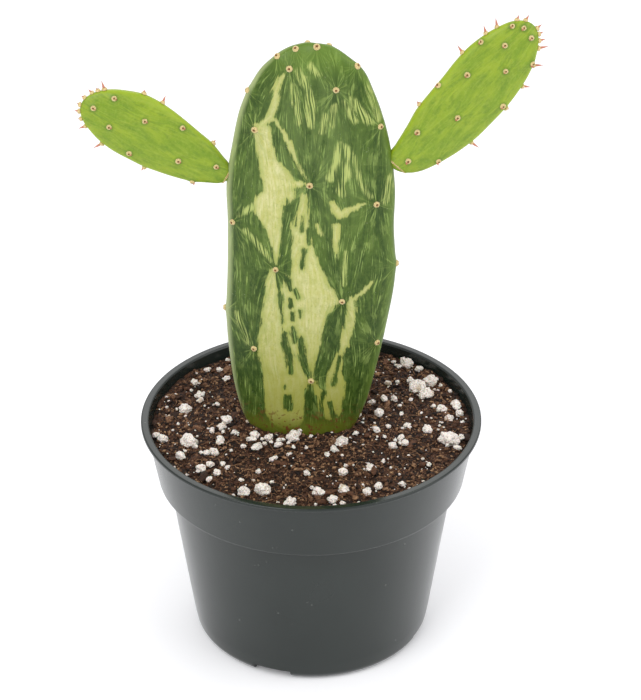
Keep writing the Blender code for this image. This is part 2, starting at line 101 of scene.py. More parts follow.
# A paddle's outline: (along, half width as a share, sideways shift of the middle in mm).
PARENT_OUTLINE = [
    (0.00, 0.00, -5.0), (0.05, 0.44, -4.6), (0.12, 0.685, -4.6), (0.17, 0.787, -4.2),
    (0.24, 0.87, -3.7), (0.36, 0.965, -2.2), (0.48, 1.00, 0.0), (0.59, 0.98, -0.2),
    (0.68, 0.985, -0.2), (0.78, 0.908, 0.2), (0.85, 0.815, 0.0), (0.90, 0.706, 0.3),
    (0.94, 0.59, 0.8), (0.97, 0.42, 0.8), (0.99, 0.26, 0.8), (1.00, 0.00, 0.8)]
PARENT_DEPTH = [
    (0.00, 0.00), (0.05, 0.72), (0.12, 1.00), (0.25, 0.97), (0.40, 0.86), (0.60, 0.76),
    (0.80, 0.66), (0.90, 0.57), (0.96, 0.45), (1.00, 0.00)]
LEFT_OUTLINE = [
    (0.00, 0.00, 0.4), (0.05, 0.35, 0.8), (0.10, 0.46, 0.9), (0.20, 0.67, 1.2),
    (0.30, 0.79, 1.4), (0.40, 0.89, 1.9), (0.50, 0.97, 2.4), (0.60, 1.00, 3.0),
    (0.70, 0.985, 3.2), (0.80, 0.87, 3.0), (0.88, 0.71, 3.0), (0.95, 0.48, 2.7),
    (1.00, 0.00, 2.3)]
RIGHT_OUTLINE = [
    (0.00, 0.00, 1.0), (0.05, 0.44, 2.2), (0.10, 0.56, 3.2), (0.20, 0.73, 3.7),
    (0.30, 0.88, 3.5), (0.40, 0.95, 3.5), (0.50, 0.975, 3.1), (0.60, 1.00, 2.4),
    (0.70, 0.975, 1.6), (0.80, 0.87, 1.1), (0.88, 0.71, 0.6), (0.95, 0.48, 0.0),
    (1.00, 0.00, 0.0)]
YOUNG_DEPTH = [
    (0.00, 0.00), (0.05, 0.74), (0.15, 0.92), (0.40, 1.00), (0.75, 0.90), (0.90, 0.68),
    (1.00, 0.00)]
SECTION_POWER = 2.6
PARENT_WIDTH = 73.2 * MM
PARENT_THICKNESS = 20.0 * MM
PARENT_BACK = 1.5 * MM
PARENT_CUP = 2.5 * MM
PARENT_TURN = math.radians(-5.0)
YOUNG_SUNK = 1.2 * MM

# The young paddles: the seat along the old one's edge, the turn, lean and twist in
# degrees, then length, width and thickness.
LEFT_SEAT, LEFT_TURNS = 0.690, (4.0, -60.7, 6.0)
LEFT_SIZES = (71.5 * MM, 28.4 * MM, 8.6 * MM)
RIGHT_SEAT, RIGHT_TURNS = 0.731, (5.0, 43.4, -5.0)
RIGHT_SIZES = (85.2 * MM, 29.8 * MM, 8.6 * MM)

# Where the areoles sit: (along, across) on a paddle's front.
PARENT_AREOLES = [
    (0.953, -0.47), (0.912, 0.43), (0.816, -0.73), (0.827, 0.94), (0.702, 0.01),
    (0.599, -0.92), (0.657, 0.79), (0.505, -0.40), (0.436, 0.41), (0.312, -0.63),
    (0.328, 0.92), (0.245, 0.14), (0.505, 1.00), (0.383, -1.00), (0.972, -0.95),
    (0.990, -0.70), (0.995, 0.30), (0.955, 0.98), (0.893, -0.99)]
LEFT_AREOLES = [
    (0.93, 0.04), (0.80, -0.33), (0.63, 0.34), (0.34, -0.27), (0.12, 0.28), (0.85, 0.70),
    (0.41, 0.78), (0.62, -0.77), (0.20, -0.93)]
RIGHT_AREOLES = [
    (0.84, -0.37), (0.75, 0.23), (0.61, -0.56), (0.42, 0.05), (0.23, -0.61), (0.09, -0.04),
    (0.61, 0.84), (0.19, 0.81), (0.47, -0.97), (0.77, -0.92), (0.93, -0.81),
    (0.96, -0.41), (0.95, 0.36), (0.86, 0.90)]
# Mesh steps round the front, round the back and along, then the low mound under each
# areole: its height and width.
PARENT_STEPS = (0.5 * MM, 0.9 * MM, 0.56 * MM)
PARENT_MOUND = (0.45 * MM, 3.0 * MM)
YOUNG_STEPS = (0.42 * MM, 0.55 * MM, 0.45 * MM)
YOUNG_MOUND = (0.55 * MM, 1.9 * MM)
AREOLE_RADIUS = 1.35 * MM
AREOLE_HEIGHT = 1.2 * MM
YOUNG_AREOLE_RADIUS = 1.15 * MM
YOUNG_AREOLE_HEIGHT = 1.0 * MM

# Awl leaves on the young edges: (along, side, lean in degrees towards the tip, length in mm).
LEFT_LEAVES = [
    (0.192, 1, 5, 2.6), (0.576, 1, 5, 4.2), (0.698, 1, 8, 2.4), (0.915, 1, 8, 4.2),
    (0.970, 1, 20, 2.2), (0.489, -1, 8, 2.8), (0.779, -1, 15, 4.5), (0.913, -1, 10, 3.4),
    (0.985, -1, 15, 2.2), (0.955, -1, 12, 1.8), (0.994, 1, 40, 1.6), (0.999, -1, 60, 1.5),
    (0.945, 1, 12, 1.8)]
RIGHT_LEAVES = [
    (0.332, -1, 5, 2.6), (0.666, -1, 8, 4.6), (0.812, -1, 12, 4.0), (0.871, -1, 14, 4.2),
    (0.961, -1, 25, 2.2), (0.362, 1, 6, 5.0), (0.606, 1, 5, 2.2), (0.740, 1, 18, 3.8),
    (0.852, 1, 18, 4.2), (0.930, 1, 20, 4.0), (0.982, 1, 25, 2.0), (0.987, -1, 35, 2.4),
    (0.996, 1, 50, 2.2), (0.960, 1, 15, 2.8)]
LEAF_RADIUS = 0.62 * MM

# Soft lamps: (name, place, size, watts).
LAMPS = [("key", (-0.55, -0.75, 1.05), 0.8, 7.5), ("fill", (0.8, -0.35, 0.75), 0.9, 3.8),
         ("back", (0.1, 0.9, 1.0), 0.9, 3.2)]
LAMP_AIM = Vector((0.0, 0.0, 0.13))
SURROUND_STRENGTH = 0.80
CAMERA_PLACE = (0.0, -0.9402, 0.6910)
CAMERA_AIM = Vector((0.0042, 0.0, 0.1415))
CAMERA_LENS = 126.95                    # on a sensor 36 mm wide

# Perlite grains that stand out on the mix beside the CAD ones: (x, y, size) in mm.
PERLITE_GRAINS = [
    (-57, 11, 5.5), (-66, -13, 4.5), (-43, -23, 4.0), (26, -38, 4.2), (36, -20, 3.8),
    (52, -7, 4.6), (67, 8, 3.6), (45, 51, 5.0), (55, 35, 6.0), (-25, -10, 4.6),
    (14, -54, 5.0), (-51, 25, 4.0), (53, 24, 6.0), (46, 36, 4.0), (-38, 2, 4.5),
    (-40, -2, 4.0), (-29, -55, 5.0), (38, 20, 3.2), (59, 12, 4.5), (62, 3, 3.5),
    (43, -2, 3.2), (-34, -8, 3.4), (-19, -13, 3.6), (-48, -37, 4.0), (24, -57, 4.2)]

# The old paddle's cream strokes, as (x, height above the mix, half width) in mm. They
# run from areole to areole, and the dark strokes lie over them.
CREAM_STROKES = [
    [(-10.5, 171, .5), (-12, 169.5, .9), (-13.8, 164, 1.3), (-14.7, 157, 1.4),
     (-16.8, 152, 1.5), (-19.8, 149, 1.2), (-22.8, 148, .6)],
    [(-14.4, 151.5, .8), (-12.6, 148.7, .8), (-10.2, 144.6, .8), (-7.8, 140.5, .9),
     (-6, 135, 1), (-3.6, 129.6, .7), (-.9, 125, .3)],
    [(-19.8, 145.6, 3.6), (-18.9, 138.6, 3.6), (-17.4, 132, 4.2), (-15, 126.4, 5.4),
     (-12.8, 122.5, 6.6), (-12.8, 119, 6.6), (-15, 116, 4.8), (-17.3, 112, 6),
     (-17.4, 108.7, 5.8), (-15.9, 103, 3.9), (-14.8, 97.5, 2.6), (-14.4, 89, 1.3),
     (-14.3, 84.3, .3)],
    [(-10, 122, 3), (-2, 123, .6)],
    [(-2.1, 117.6, 1.1), (-2.6, 109.4, 2.3), (-4.0, 103, 3.8), (-3.9, 94.4, 4.6),
     (-1.7, 86.4, 5.5), (-.6, 79, 6.9), (.9, 72, 8.1), (2.7, 66.6, 9.9),
     (1.6, 60.5, 7.6), (1, 53.6, 6.4), (1.9, 46.7, 3.8), (1.6, 39.7, 2.8),
     (1.8, 32.7, 1.2), (1.5, 29, .4)],
    [(-15.9, 81, .7), (-16.6, 73, 2.5), (-16.6, 60.5, 3.7), (-16.2, 53.6, 4.2),
     (-17.2, 46.7, 5.5), (-16.6, 39.7, 5.8), (-15.5, 32.7, 5.6), (-11.3, 25.6, 8.9),
     (-11, 18.5, 8.7), (-10.8, 11, 8.4)],
    [(-9.6, 78, .8), (-9.6, 71, 2.6), (-9.2, 60, 3.2), (-7.4, 50, 3.4), (-6.6, 40, 2.6),
     (-5.9, 32.7, 2.2), (-3, 28, 3.4), (1, 25.5, 2.6), (5.5, 21, 2.2), (6.5, 13, 2.4)],
    [(18, 68.7, .8), (18.3, 63, 1.8), (17.8, 58, 2.2), (16.6, 52, 2.2), (14.8, 43, 1.7),
     (10.9, 32, 2.4), (11.5, 25.6, 4.4), (10.3, 18.5, 4.6), (9.7, 12, 4)],
    [(26.9, 76, .6), (23.2, 71.4, .8), (18.9, 68, .8)],
    [(9.5, 114.3, .4), (11.3, 111.4, 1.8), (13.1, 108.7, 1.6), (17.3, 111, 1.2),
     (21.4, 112.7, .7), (24, 113.7, .4)],
    [(11.3, 103, 1.3), (11.6, 91.6, .8)],
    [(3.6, 103.5, 1), (5.1, 99.5, .6)]]
# Fainter, light green strokes on the dark skin.
FAINT_STROKES = [
    [(12.5, 142, .4), (11.6, 137, 1.1), (10.4, 131.5, 1.2), (9.2, 125.7, 1.2)],
    [(15.2, 140, .8), (16.4, 137, 1.2), (15.8, 131.5, .8), (15.8, 127, 1.3),
     (12.8, 122.5, 1), (13.7, 118, .9)],
    [(-4.5, 173.5, .8), (-2.7, 170.5, 1.1), (-1.5, 167.4, .9), (.3, 164.4, .6)],
    [(.3, 175.7, .7), (3.6, 172.3, .6)],
    [(0, 162.5, 1.2), (.3, 158, 2), (.6, 154.4, 1.2), (.6, 149.4, .4)],
    [(-6.9, 166.8, .5), (-5.7, 159.5, .8), (-3.9, 150.6, .4)],
    [(6.9, 154.4, .6), (5.4, 146.8, .5)],
    [(10.3, 158, .8), (9.5, 150, .6)],
    [(17, 162, .4), (21.1, 155.7, 1), (25.4, 150.6, .8)],
    [(23.6, 166, .5), (26.3, 159, .6), (28.6, 151.5, .5)],
    [(14.6, 160.7, .5), (18.8, 152, .7)],
    [(19.3, 135, .5), (21.1, 125.7, .6), (23.8, 119, .5), (25.9, 116.6, .3)],
    [(34.2, 124, 1.2), (32.2, 114, 1)],
    [(-30.6, 105, .5), (-23.4, 110.5, .9)],
    [(-27.4, 98, .6), (-21.3, 91.5, .6), (-16.4, 85.4, .3)],
    [(-32, 57, .6), (-27.4, 44, .5)],
    [(15.6, 91, .5), (15, 76, .4)],
    [(11.4, 97.7, .9), (11.7, 89, .5)]]
DARK_SPREAD = 0.35                      # mm that the skin's edges add to a dark stroke
DARK_STROKES = [
    [(-2.1, 91.7, 1), (-2.7, 83, .9)], [(0, 101, 1.3), (0, 95, 1)],
    [(-13.9, 81, .5), (-12.7, 67.3, .8), (-11.6, 55.7, .5)],
    [(-12, 81, .6), (-9.3, 76, 1.3), (-8.4, 72, .7)], [(-8.1, 67.3, 1.1), (-8.1, 64, 1.1)],
    [(-7.2, 60.5, .9), (-7.2, 57, .8)], [(-6, 72, .6), (-4.7, 68.7, .7)],
    [(-3.8, 62, .6), (-3.8, 59, .5)],
    [(-10.5, 50.8, 1.2), (-10.8, 45.3, 1.4), (-9, 39.7, 1.6), (-8.3, 31.6, 1)],
    [(-7.2, 53.6, .8), (-6, 46.7, .7)],
    [(-3.9, 48.4, 1.4), (-3.3, 40.4, 1.4), (-1.7, 32.7, 1), (0, 29, .5)],
    [(12.9, 64.3, 1.4), (9.7, 59, 1.9), (7.9, 49.5, 2.1), (6.1, 41, 2), (3, 30.5, 1)],
    [(14.9, 62, .7), (13.7, 53.6, 1.1), (10.9, 43, 1.3), (7.9, 34, 1.2), (5.4, 29.5, .6)],
    [(13.3, 39.4, .7), (10.9, 25.6, .7)], [(16.9, 43, 1.2), (15.7, 34, 1)],
    [(.6, 25, 1.2), (.3, 18.5, 2.3), (0, 11, 1.8)], [(-9.6, 18.5, 1.8), (-9.3, 13.4, 1.9)],
    [(-11, 24, .5), (-11, 23, .5)], [(6.4, 21.7, .9), (5.3, 16.3, .9), (5.7, 9, .8)],
    [(9.1, 16.3, .9), (11.2, 9, 1.3)], [(3.3, 26.6, .5), (6, 24, .5)],
    [(-9.3, 115, .6), (-9.9, 103, 1.2), (-9.4, 98, 2), (-9.6, 90, 1.7), (-12.9, 85.7, .5)],
    [(-6, 113, .7), (-5.7, 103, .8)], [(-2.9, 107.4, .6), (-3, 100.8, .8)],
    [(-.3, 160.2, .9), (-.3, 159.8, .9)],
    [(23, 46, 3), (20.5, 30, 3), (19, 20, 2.6), (17.5, 8, 2)]]


# ---------------------------------------------------------------- small helpers

def linear(red, green, blue):
    """A display colour of 0 to 255 a channel, as the linear colour that shaders take."""
    def one(value):
        share = value / 255
        return share / 12.92 if share <= 0.04045 else ((share + 0.055) / 1.055) ** 2.4
    return (one(red), one(green), one(blue), 1.0)


def smooth_curve(pairs, along):
    """A smooth curve through (along, value) pairs that rounds off at both ends."""
    xs = np.arccos(1 - 2 * np.array([pair[0] for pair in pairs]))
    ys = np.array([pair[1] for pair in pairs], float)
    x = np.arccos(1 - 2 * np.clip(np.asarray(along, float), 0, 1))
    i = np.clip(np.searchsorted(xs, x, side="left") - 1, 0, len(xs) - 2)
    last = len(xs) - 1
    high = np.minimum(np.arange(len(xs)) + 1, last)
    low = np.maximum(np.arange(len(xs)) - 1, 0)
    slope = (ys[high] - ys[low]) / (xs[high] - xs[low])
    width = xs[i + 1] - xs[i]
    t = (x - xs[i]) / width
    start = ys[i] * (2 * t**3 - 3 * t**2 + 1) + slope[i] * width * (t**3 - 2 * t**2 + t)
    end = ys[i + 1] * (3 * t**2 - 2 * t**3) + slope[i + 1] * width * (t**3 - t**2)
    return start + end


def lumps(points, scale, seed=0.0):
    """Smooth noise, about -1 to 1, at each point, with lumps of about this size."""
    shift = Vector((seed, 2.3 * seed, -1.7 * seed))
    return np.array([noise.noise(Vector(p) / scale + shift) for p in points])


def placed(name, data, place=(0.0, 0.0, 0.0), aim=None):
    """A new object in the scene. One that is aimed has its -Z turned to face that place."""
    obj = bpy.data.objects.new(name, data)
    bpy.context.scene.collection.objects.link(obj)
    obj.location = place
    if aim is not None:
        obj.rotation_euler = (aim - Vector(place)).to_track_quat('-Z', 'Y').to_euler()
    return obj


def new_piece(name, points, faces, material, stands_for=(), values=None):
    """A smooth mesh piece that rides on the body, with its per-vertex values."""
    mesh = bpy.data.meshes.new(name)
    mesh.from_pydata(np.asarray(points).tolist(), [], faces)
    mesh.validate()
    for key, data in (values or {}).items():
        data = np.asarray(data, np.float32)
        kind, field = ('FLOAT_VECTOR', "vector") if data.ndim == 2 else ('FLOAT', "value")
        mesh.attributes.new(key, kind, 'POINT').data.foreach_set(field, data.ravel())
    mesh.shade_smooth()
    mesh.materials.append(material)
    obj = placed(name, mesh)
    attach(obj, "root")
    if stands_for:
        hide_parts(*stands_for)
    return obj


def nodes_named(start):
    """The CAD nodes whose names start this way."""
    return sorted(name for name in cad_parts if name.startswith(start))


class Parts:
    """Small shapes gathered into one mesh, with one value to a vertex under each key."""

    def __init__(self, *keys):
        self.points = []
        self.faces = []
        self.count = 0
        self.values = {key: [] for key in keys}

    def add(self, points, faces, **values):
        self.points.append(np.asarray(points, float))
        self.faces.extend([[i + self.count for i in face] for face in faces])
        self.count += len(points)
        for key, value in values.items():
            self.values[key].append(np.broadcast_to(np.asarray(value, float), len(points)))

    def piece(self, name, material, stands_for=()):
        values = {key: np.concatenate(value) for key, value in self.values.items()}
        points = np.concatenate(self.points)
        return new_piece(name, points, self.faces, material, stands_for, values)


def ball(subdivisions):
    """A unit ball's points and faces, to be shaped many times over."""
    bm = bmesh.new()
    bmesh.ops.create_icosphere(bm, subdivisions=subdivisions, radius=1.0)
    points = np.array([vert.co for vert in bm.verts])
    faces = [[vert.index for vert in face.verts] for face in bm.faces]
    bm.free()
    return points, faces


def facing(direction):
    """Rotation rows that turn local +Z to a direction."""
    turn = Vector(direction).to_track_quat('Z', 'Y').to_matrix()
    return np.array(turn)


# ---------------------------------------------------------------- node materials

class Shading:
    """A node material under construction, with one short method for each kind of node."""

    def __init__(self, name, roughness, **sockets):
        self.material = bpy.data.materials.new(name)
        self.material.use_nodes = True
        self.tree = self.material.node_tree
        self.shader = self.tree.nodes["Principled BSDF"]
        self.set(self.shader, Roughness=roughness, **sockets)

    def plug(self, socket, value):
        """Links another node's output to a socket, or sets the socket to a plain value."""
        if isinstance(value, bpy.types.NodeSocket):
            self.tree.links.new(value, socket)
        else:
            socket.default_value = value

    def set(self, node, **inputs):
        for key, value in inputs.items():
            self.plug(node.inputs[key.replace("_", " ")], value)
        return node

    def node(self, kind, **inputs):
        return self.set(self.tree.nodes.new("ShaderNode" + kind), **inputs)

    def attribute(self, name):
        node = self.node("Attribute")
        node.attribute_name = name
        return node

    def place(self):
        return self.node("TexCoord").outputs["Object"]

    def stretch(self, vector, scale, shift=(0.0, 0.0, 0.0)):
        node = self.node("Mapping", Vector=vector, Scale=scale, Location=shift)
        return node.outputs["Vector"]

    def noise(self, vector, scale=1.0, detail=2.0, rough=0.5):
        node = self.node("TexNoise", Vector=vector, Scale=scale, Detail=detail, Roughness=rough)
        return node.outputs["Fac"]

    def cells(self, vector, scale):
        return self.node("TexVoronoi", Vector=vector, Scale=scale).outputs["Distance"]

    def ramp(self, value, low, high, to_low=0.0, to_high=1.0):
        """A smooth step from one number to another as the value runs from low to high."""
        node = self.node("MapRange", Value=value, From_Min=low, From_Max=high, To_Min=to_low,
                         To_Max=to_high)
        node.interpolation_type = 'SMOOTHSTEP'
        return node.outputs["Result"]

    def math(self, kind, a, b=0.0):
        node = self.node("Math")
        node.operation = kind
        for socket, value in zip(node.inputs, (a, b)):
            self.plug(socket, value)
        return node.outputs[0]

    def times(self, a, b):
        return self.math('MULTIPLY', a, b)

    def plus(self, a, b):
        return self.math('ADD', a, b)

    def swing(self, value, middle, amount):
        """Noise made into a push either way from its middle."""
        return self.times(self.math('SUBTRACT', value, middle), amount)

    def mix(self, share, first, second):
        node = self.node("Mix")
        node.data_type = 'RGBA'
        factor, a, b = 0, 6, 7          # the sockets that a colour mix uses
        for i, value in ((factor, share), (a, first), (b, second)):
            self.plug(node.inputs[i], value)
        return node.outputs[2]

    def blend(self, value, low, high, first, second):
        """From one colour to another as the value runs from low to high."""
        return self.mix(self.ramp(value, low, high), linear(*first), linear(*second))

    def tint(self, base, value, low, high, colour, most=1.0):
        """The base, turned towards a colour as the value runs from low to high."""
        return self.mix(self.ramp(value, low, high, 0.0, most), base, linear(*colour))

    def bump(self, height, strength, distance):
        node = self.node("Bump", Height=height, Strength=strength, Distance=distance)
        self.set(self.shader, Normal=node.outputs["Normal"])

    def colour(self, value):
        self.set(self.shader, Base_Color=value)

    def roughness(self, value):
        self.set(self.shader, Roughness=value)


def old_skin_material():
    """Dark waxy skin with cream patches, fine light streaks and a rusty foot."""
    s = Shading("old_skin", 0.40, Subsurface_Weight=0.04, Subsurface_Scale=0.0015,
                Specular_IOR_Level=0.26)
    flow = s.attribute("flow").outputs["Vector"]
    rise = s.attribute("rise").outputs["Fac"]
    side = s.attribute("side").outputs["Fac"]
    margin = s.math('ABSOLUTE', side)
    place = s.place()

    broad = s.noise(s.stretch(flow, (0.08, 0.03, 1.0)), detail=3.0)
    band = s.noise(s.stretch(flow, (0.45, 0.03, 1.0), (2.0, 5.0, 0.0)), detail=2.0)
    fine = s.noise(s.stretch(flow, (1.1, 0.05, 1.0)), detail=3.0, rough=0.6)
    hair = s.noise(s.stretch(flow, (2.3, 0.07, 1.0), (7.0, 3.0, 0.0)), detail=2.0)
    broken = s.noise(s.stretch(flow, (0.3, 0.11, 1.0), (1.0, 8.0, 0.0)), detail=3.0, rough=0.6)
    fleck = s.noise(s.stretch(place, (520.0, 520.0, 300.0)), detail=4.0, rough=0.7)
    speck = s.noise(place, 1300.0, detail=3.0, rough=0.6)

    green = s.blend(broad, 0.35, 0.65, (48, 72, 12), (74, 98, 28))
    # Lighter grey-green on the upper middle of the face, away from the edges: a painted soft
    # highlight, a sheen of light painted into the skin colour.
    centre = s.times(s.ramp(margin, 0.9, 0.3), s.ramp(rise, 80.0, 125.0, 0.0, 0.8))
    green = s.mix(centre, green, linear(84, 104, 50))
    green = s.tint(green, band, 0.54, 0.40, (44, 68, 12), 0.75)
    green = s.tint(green, rise, 110.0, 25.0, (36, 56, 10), 0.6)
    green = s.tint(green, fleck, 0.42, 0.62, (98, 122, 52), 0.3)
    green = s.tint(green, fine, 0.54, 0.70, (104, 130, 54), 0.45)
    light = s.times(s.ramp(hair, 0.54, 0.64), s.ramp(broken, 0.44, 0.58, 0.0, 0.75))
    green = s.mix(light, green, linear(134, 156, 82))
    streak = s.times(s.ramp(fine, 0.58, 0.66), s.ramp(broken, 0.5, 0.6, 0.0, 0.7))
    green = s.mix(streak, green, linear(146, 164, 86))
    spoke = s.noise(s.attribute("spoke").outputs["Vector"], 1.0, detail=3.0, rough=0.6)
    spoke_reach = s.attribute("spoke_reach").outputs["Fac"]
    dark_spoke = s.times(s.ramp(spoke, 0.54, 0.42, 0.0, 0.8), spoke_reach)
    green = s.mix(dark_spoke, green, linear(40, 64, 14))
    light_spoke = s.times(s.ramp(spoke, 0.54, 0.64, 0.0, 0.7), spoke_reach)
    green = s.mix(light_spoke, green, linear(140, 160, 84))
    # Lighter along both edges, palest on the left where the key lamp falls: painted rim light,
    # a sheen painted into the skin colour.
    green = s.tint(green, side, 0.86, 1.0, (112, 138, 54), 0.5)
    green = s.tint(green, side, -0.90, -0.985, (158, 170, 118), 0.9)
    green = s.tint(green, rise, 164.0, 186.0, (98, 126, 44), 0.8)

    ragged = s.plus(s.swing(fine, 0.55, 3.6), s.swing(broken, 0.5, 2.6))
    ragged = s.plus(ragged, s.swing(fleck, 0.5, 2.4))
    faint_depth = s.plus(s.attribute("faint").outputs["Fac"], ragged)
    faint_line = s.times(s.ramp(faint_depth, 1.3, -0.4),
                        s.ramp(s.plus(hair, s.times(fine, 0.6)), 0.72, 0.86))
    green = s.mix(faint_line, green, linear(164, 176, 100))

    cream_depth = s.plus(s.attribute("cream").outputs["Fac"], ragged)
    cream = s.blend(fine, 0.4, 0.62, (178, 178, 104), (196, 194, 138))
    cream = s.tint(cream, band, 0.44, 0.60, (174, 178, 92), 0.35)
    mottle = s.noise(place, 170.0, detail=4.0, rough=0.65)
    cream = s.tint(cream, mottle, 0.54, 0.40, (164, 168, 98), 0.5)
    cream = s.tint(cream, fleck, 0.42, 0.66, (210, 208, 160), 0.4)
    cream = s.tint(cream, speck, 0.40, 0.32, (112, 130, 62), 0.4)
    cream = s.mix(s.times(dark_spoke, 0.6), cream, linear(126, 140, 62))
    cream = s.mix(s.times(s.ramp(hair, 0.56, 0.64), s.ramp(broken, 0.5, 0.6, 0.0, 0.6)),
                  cream, linear(140, 152, 70))
    cream = s.tint(cream, cream_depth, -2.2, 0.1, (148, 160, 76), 0.6)
    cream = s.tint(cream, rise, 70.0, 8.0, (144, 146, 56), 0.75)
    skin = s.mix(s.ramp(cream_depth, 0.5, -0.45), green, cream)

    foot = s.plus(rise, s.times(broad, 6.0))
    skin = s.tint(skin, foot, 15.0, 5.0, (98, 106, 30), 0.85)
    rust = s.noise(place, 420.0, detail=3.0, rough=0.7)
    rust = s.times(s.ramp(rust, 0.54, 0.62), s.ramp(rise, 17.0, 4.0))
    skin = s.mix(rust, skin, linear(104, 62, 32))
    dust = s.times(s.ramp(speck, 0.66, 0.76, 0.0, 0.5), s.ramp(broad, 0.4, 0.6))
    skin = s.mix(dust, skin, linear(196, 200, 170))
    s.colour(skin)
    s.roughness(s.ramp(fine, 0.3, 0.7, 0.32, 0.46))
    height = s.plus(s.times(fine, 0.5), s.times(fleck, 0.5))
    s.bump(height, 0.3, 0.0003)
    return s.material


def young_skin_material():
    """Lime skin with soft darker patches that run along, and a yellower rim."""
    s = Shading("young_skin", 0.42, Subsurface_Weight=0.1, Subsurface_Scale=0.002,
                Specular_IOR_Level=0.36)
    flow = s.attribute("flow").outputs["Vector"]
    margin = s.attribute("margin").outputs["Fac"]
    halo = s.attribute("halo").outputs["Fac"]
    place = s.place()
    broad = s.noise(s.stretch(flow, (0.16, 0.06, 1.0)), detail=4.0, rough=0.6)
    patch = s.noise(s.stretch(flow, (0.35, 0.14, 1.0), (3.0, 6.0, 0.0)), detail=4.0, rough=0.65)
    fine = s.noise(s.stretch(flow, (0.9, 0.10, 1.0)), detail=4.0, rough=0.6)
    grain = s.noise(place, 900.0, detail=4.0, rough=0.7)
    skin = s.blend(broad, 0.34, 0.66, (108, 138, 26), (134, 156, 34))
    skin = s.tint(skin, patch, 0.52, 0.36, (92, 124, 26), 0.6)
    skin = s.tint(skin, fine, 0.48, 0.66, (148, 166, 58), 0.4)
    skin = s.tint(skin, grain, 0.42, 0.68, (146, 164, 62), 0.35)
    skin = s.tint(skin, margin, 0.80, 1.0, (150, 172, 30), 0.75)
    skin = s.tint(skin, halo, 2.6, 1.1, (84, 116, 26), 0.6)
    s.colour(skin)
    s.roughness(s.ramp(fine, 0.3, 0.7, 0.36, 0.50))
    s.bump(s.plus(fine, s.times(grain, 0.8)), 0.25, 0.0003)
    return s.material


def felt_material():
    """Cream felt round a brown heart of fine bristles."""
    s = Shading("areole_felt", 0.9, Sheen_Weight=0.3)
    heart = s.attribute("heart").outputs["Fac"]
    fuzz = s.noise(s.place(), 3500.0, detail=3.0)
    felt = s.blend(fuzz, 0.35, 0.65, (176, 148, 92), (222, 204, 146))
    edge = s.plus(heart, s.swing(fuzz, 0.5, 0.5))
    s.colour(s.tint(felt, edge, 0.50, 0.30, (118, 76, 38)))
    s.bump(fuzz, 0.5, 0.0002)
    return s.material


def leaf_material():
    """Awl leaves: pale green at the foot, pink along, and brown-red at the tip."""
    s = Shading("leaf_red", 0.5, Subsurface_Weight=0.1, Subsurface_Scale=0.001)
    along = s.attribute("along").outputs["Fac"]
    streak = s.noise(s.place(), 1500.0)
    along = s.plus(along, s.swing(streak, 0.5, 0.3))
    leaf = s.blend(along, 0.05, 0.42, (186, 176, 92), (186, 118, 94))
    s.colour(s.tint(leaf, along, 0.7, 1.0, (128, 72, 58)))
    s.bump(streak, 0.2, 0.0002)
    return s.material


def plastic_material():
    """Grey-green moulded plastic with a smooth satin face and a few light specks."""
    s = Shading("pot_plastic", 0.2, Specular_IOR_Level=0.44)
    place = s.place()
    cloud = s.noise(place, 28.0, detail=4.0)
    pores = s.noise(place, 1800.0)
    specks = s.cells(place, 130.0)
    plastic = s.blend(cloud, 0.3, 0.7, (25, 32, 29), (31, 38, 35))
    s.colour(s.tint(plastic, specks, 0.065, 0.035, (120, 124, 118), 0.4))
    s.roughness(s.ramp(cloud, 0.3, 0.7, 0.15, 0.23))
    s.bump(pores, 0.02, 0.0001)
    return s.material


def mix_material(name, dark, middle, light):
    """Peat and bark: each crumb has a tone of its own, broken up by fine grain."""
    s = Shading(name, 0.85, Specular_IOR_Level=0.3)
    tone = s.attribute("tone").outputs["Fac"]
    place = s.place()
    grain = s.noise(place, 1300.0, detail=4.0, rough=0.7)
    tone = s.plus(tone, s.swing(grain, 0.5, 2.1))
    soil = s.blend(tone, 0.1, 0.55, dark, middle)
    s.colour(s.tint(soil, tone, 0.6, 1.05, light))
    s.roughness(s.ramp(grain, 0.3, 0.7, 0.6, 0.95))
    s.bump(grain, 0.6, 0.0006)
    return s.material


def perlite_material():
    """Puffed white glass: painted grey shade in its pits, and a few tan stains from the mix."""
    s = Shading("perlite", 0.8, Subsurface_Weight=0.1, Subsurface_Scale=0.0015)
    tone = s.attribute("tone").outputs["Fac"]
    place = s.place()
    pits = s.cells(place, 1100.0)
    stain = s.noise(place, 260.0, detail=3.0)
    # Grey where the pits sink the surface: painted shade in the hollows.
    white = s.blend(pits, 0.15, 0.55, (192, 180, 168), (238, 230, 222))
    stain = s.times(s.ramp(stain, 0.56, 0.70, 0.0, 0.7), s.ramp(tone, 0.2, 0.9))
    s.colour(s.mix(stain, white, linear(190, 164, 130)))
    s.bump(s.plus(pits, s.noise(place, 1500.0, detail=3.0)), 0.8, 0.0006)
    return s.material


# ---------------------------------------------------------------- paddles

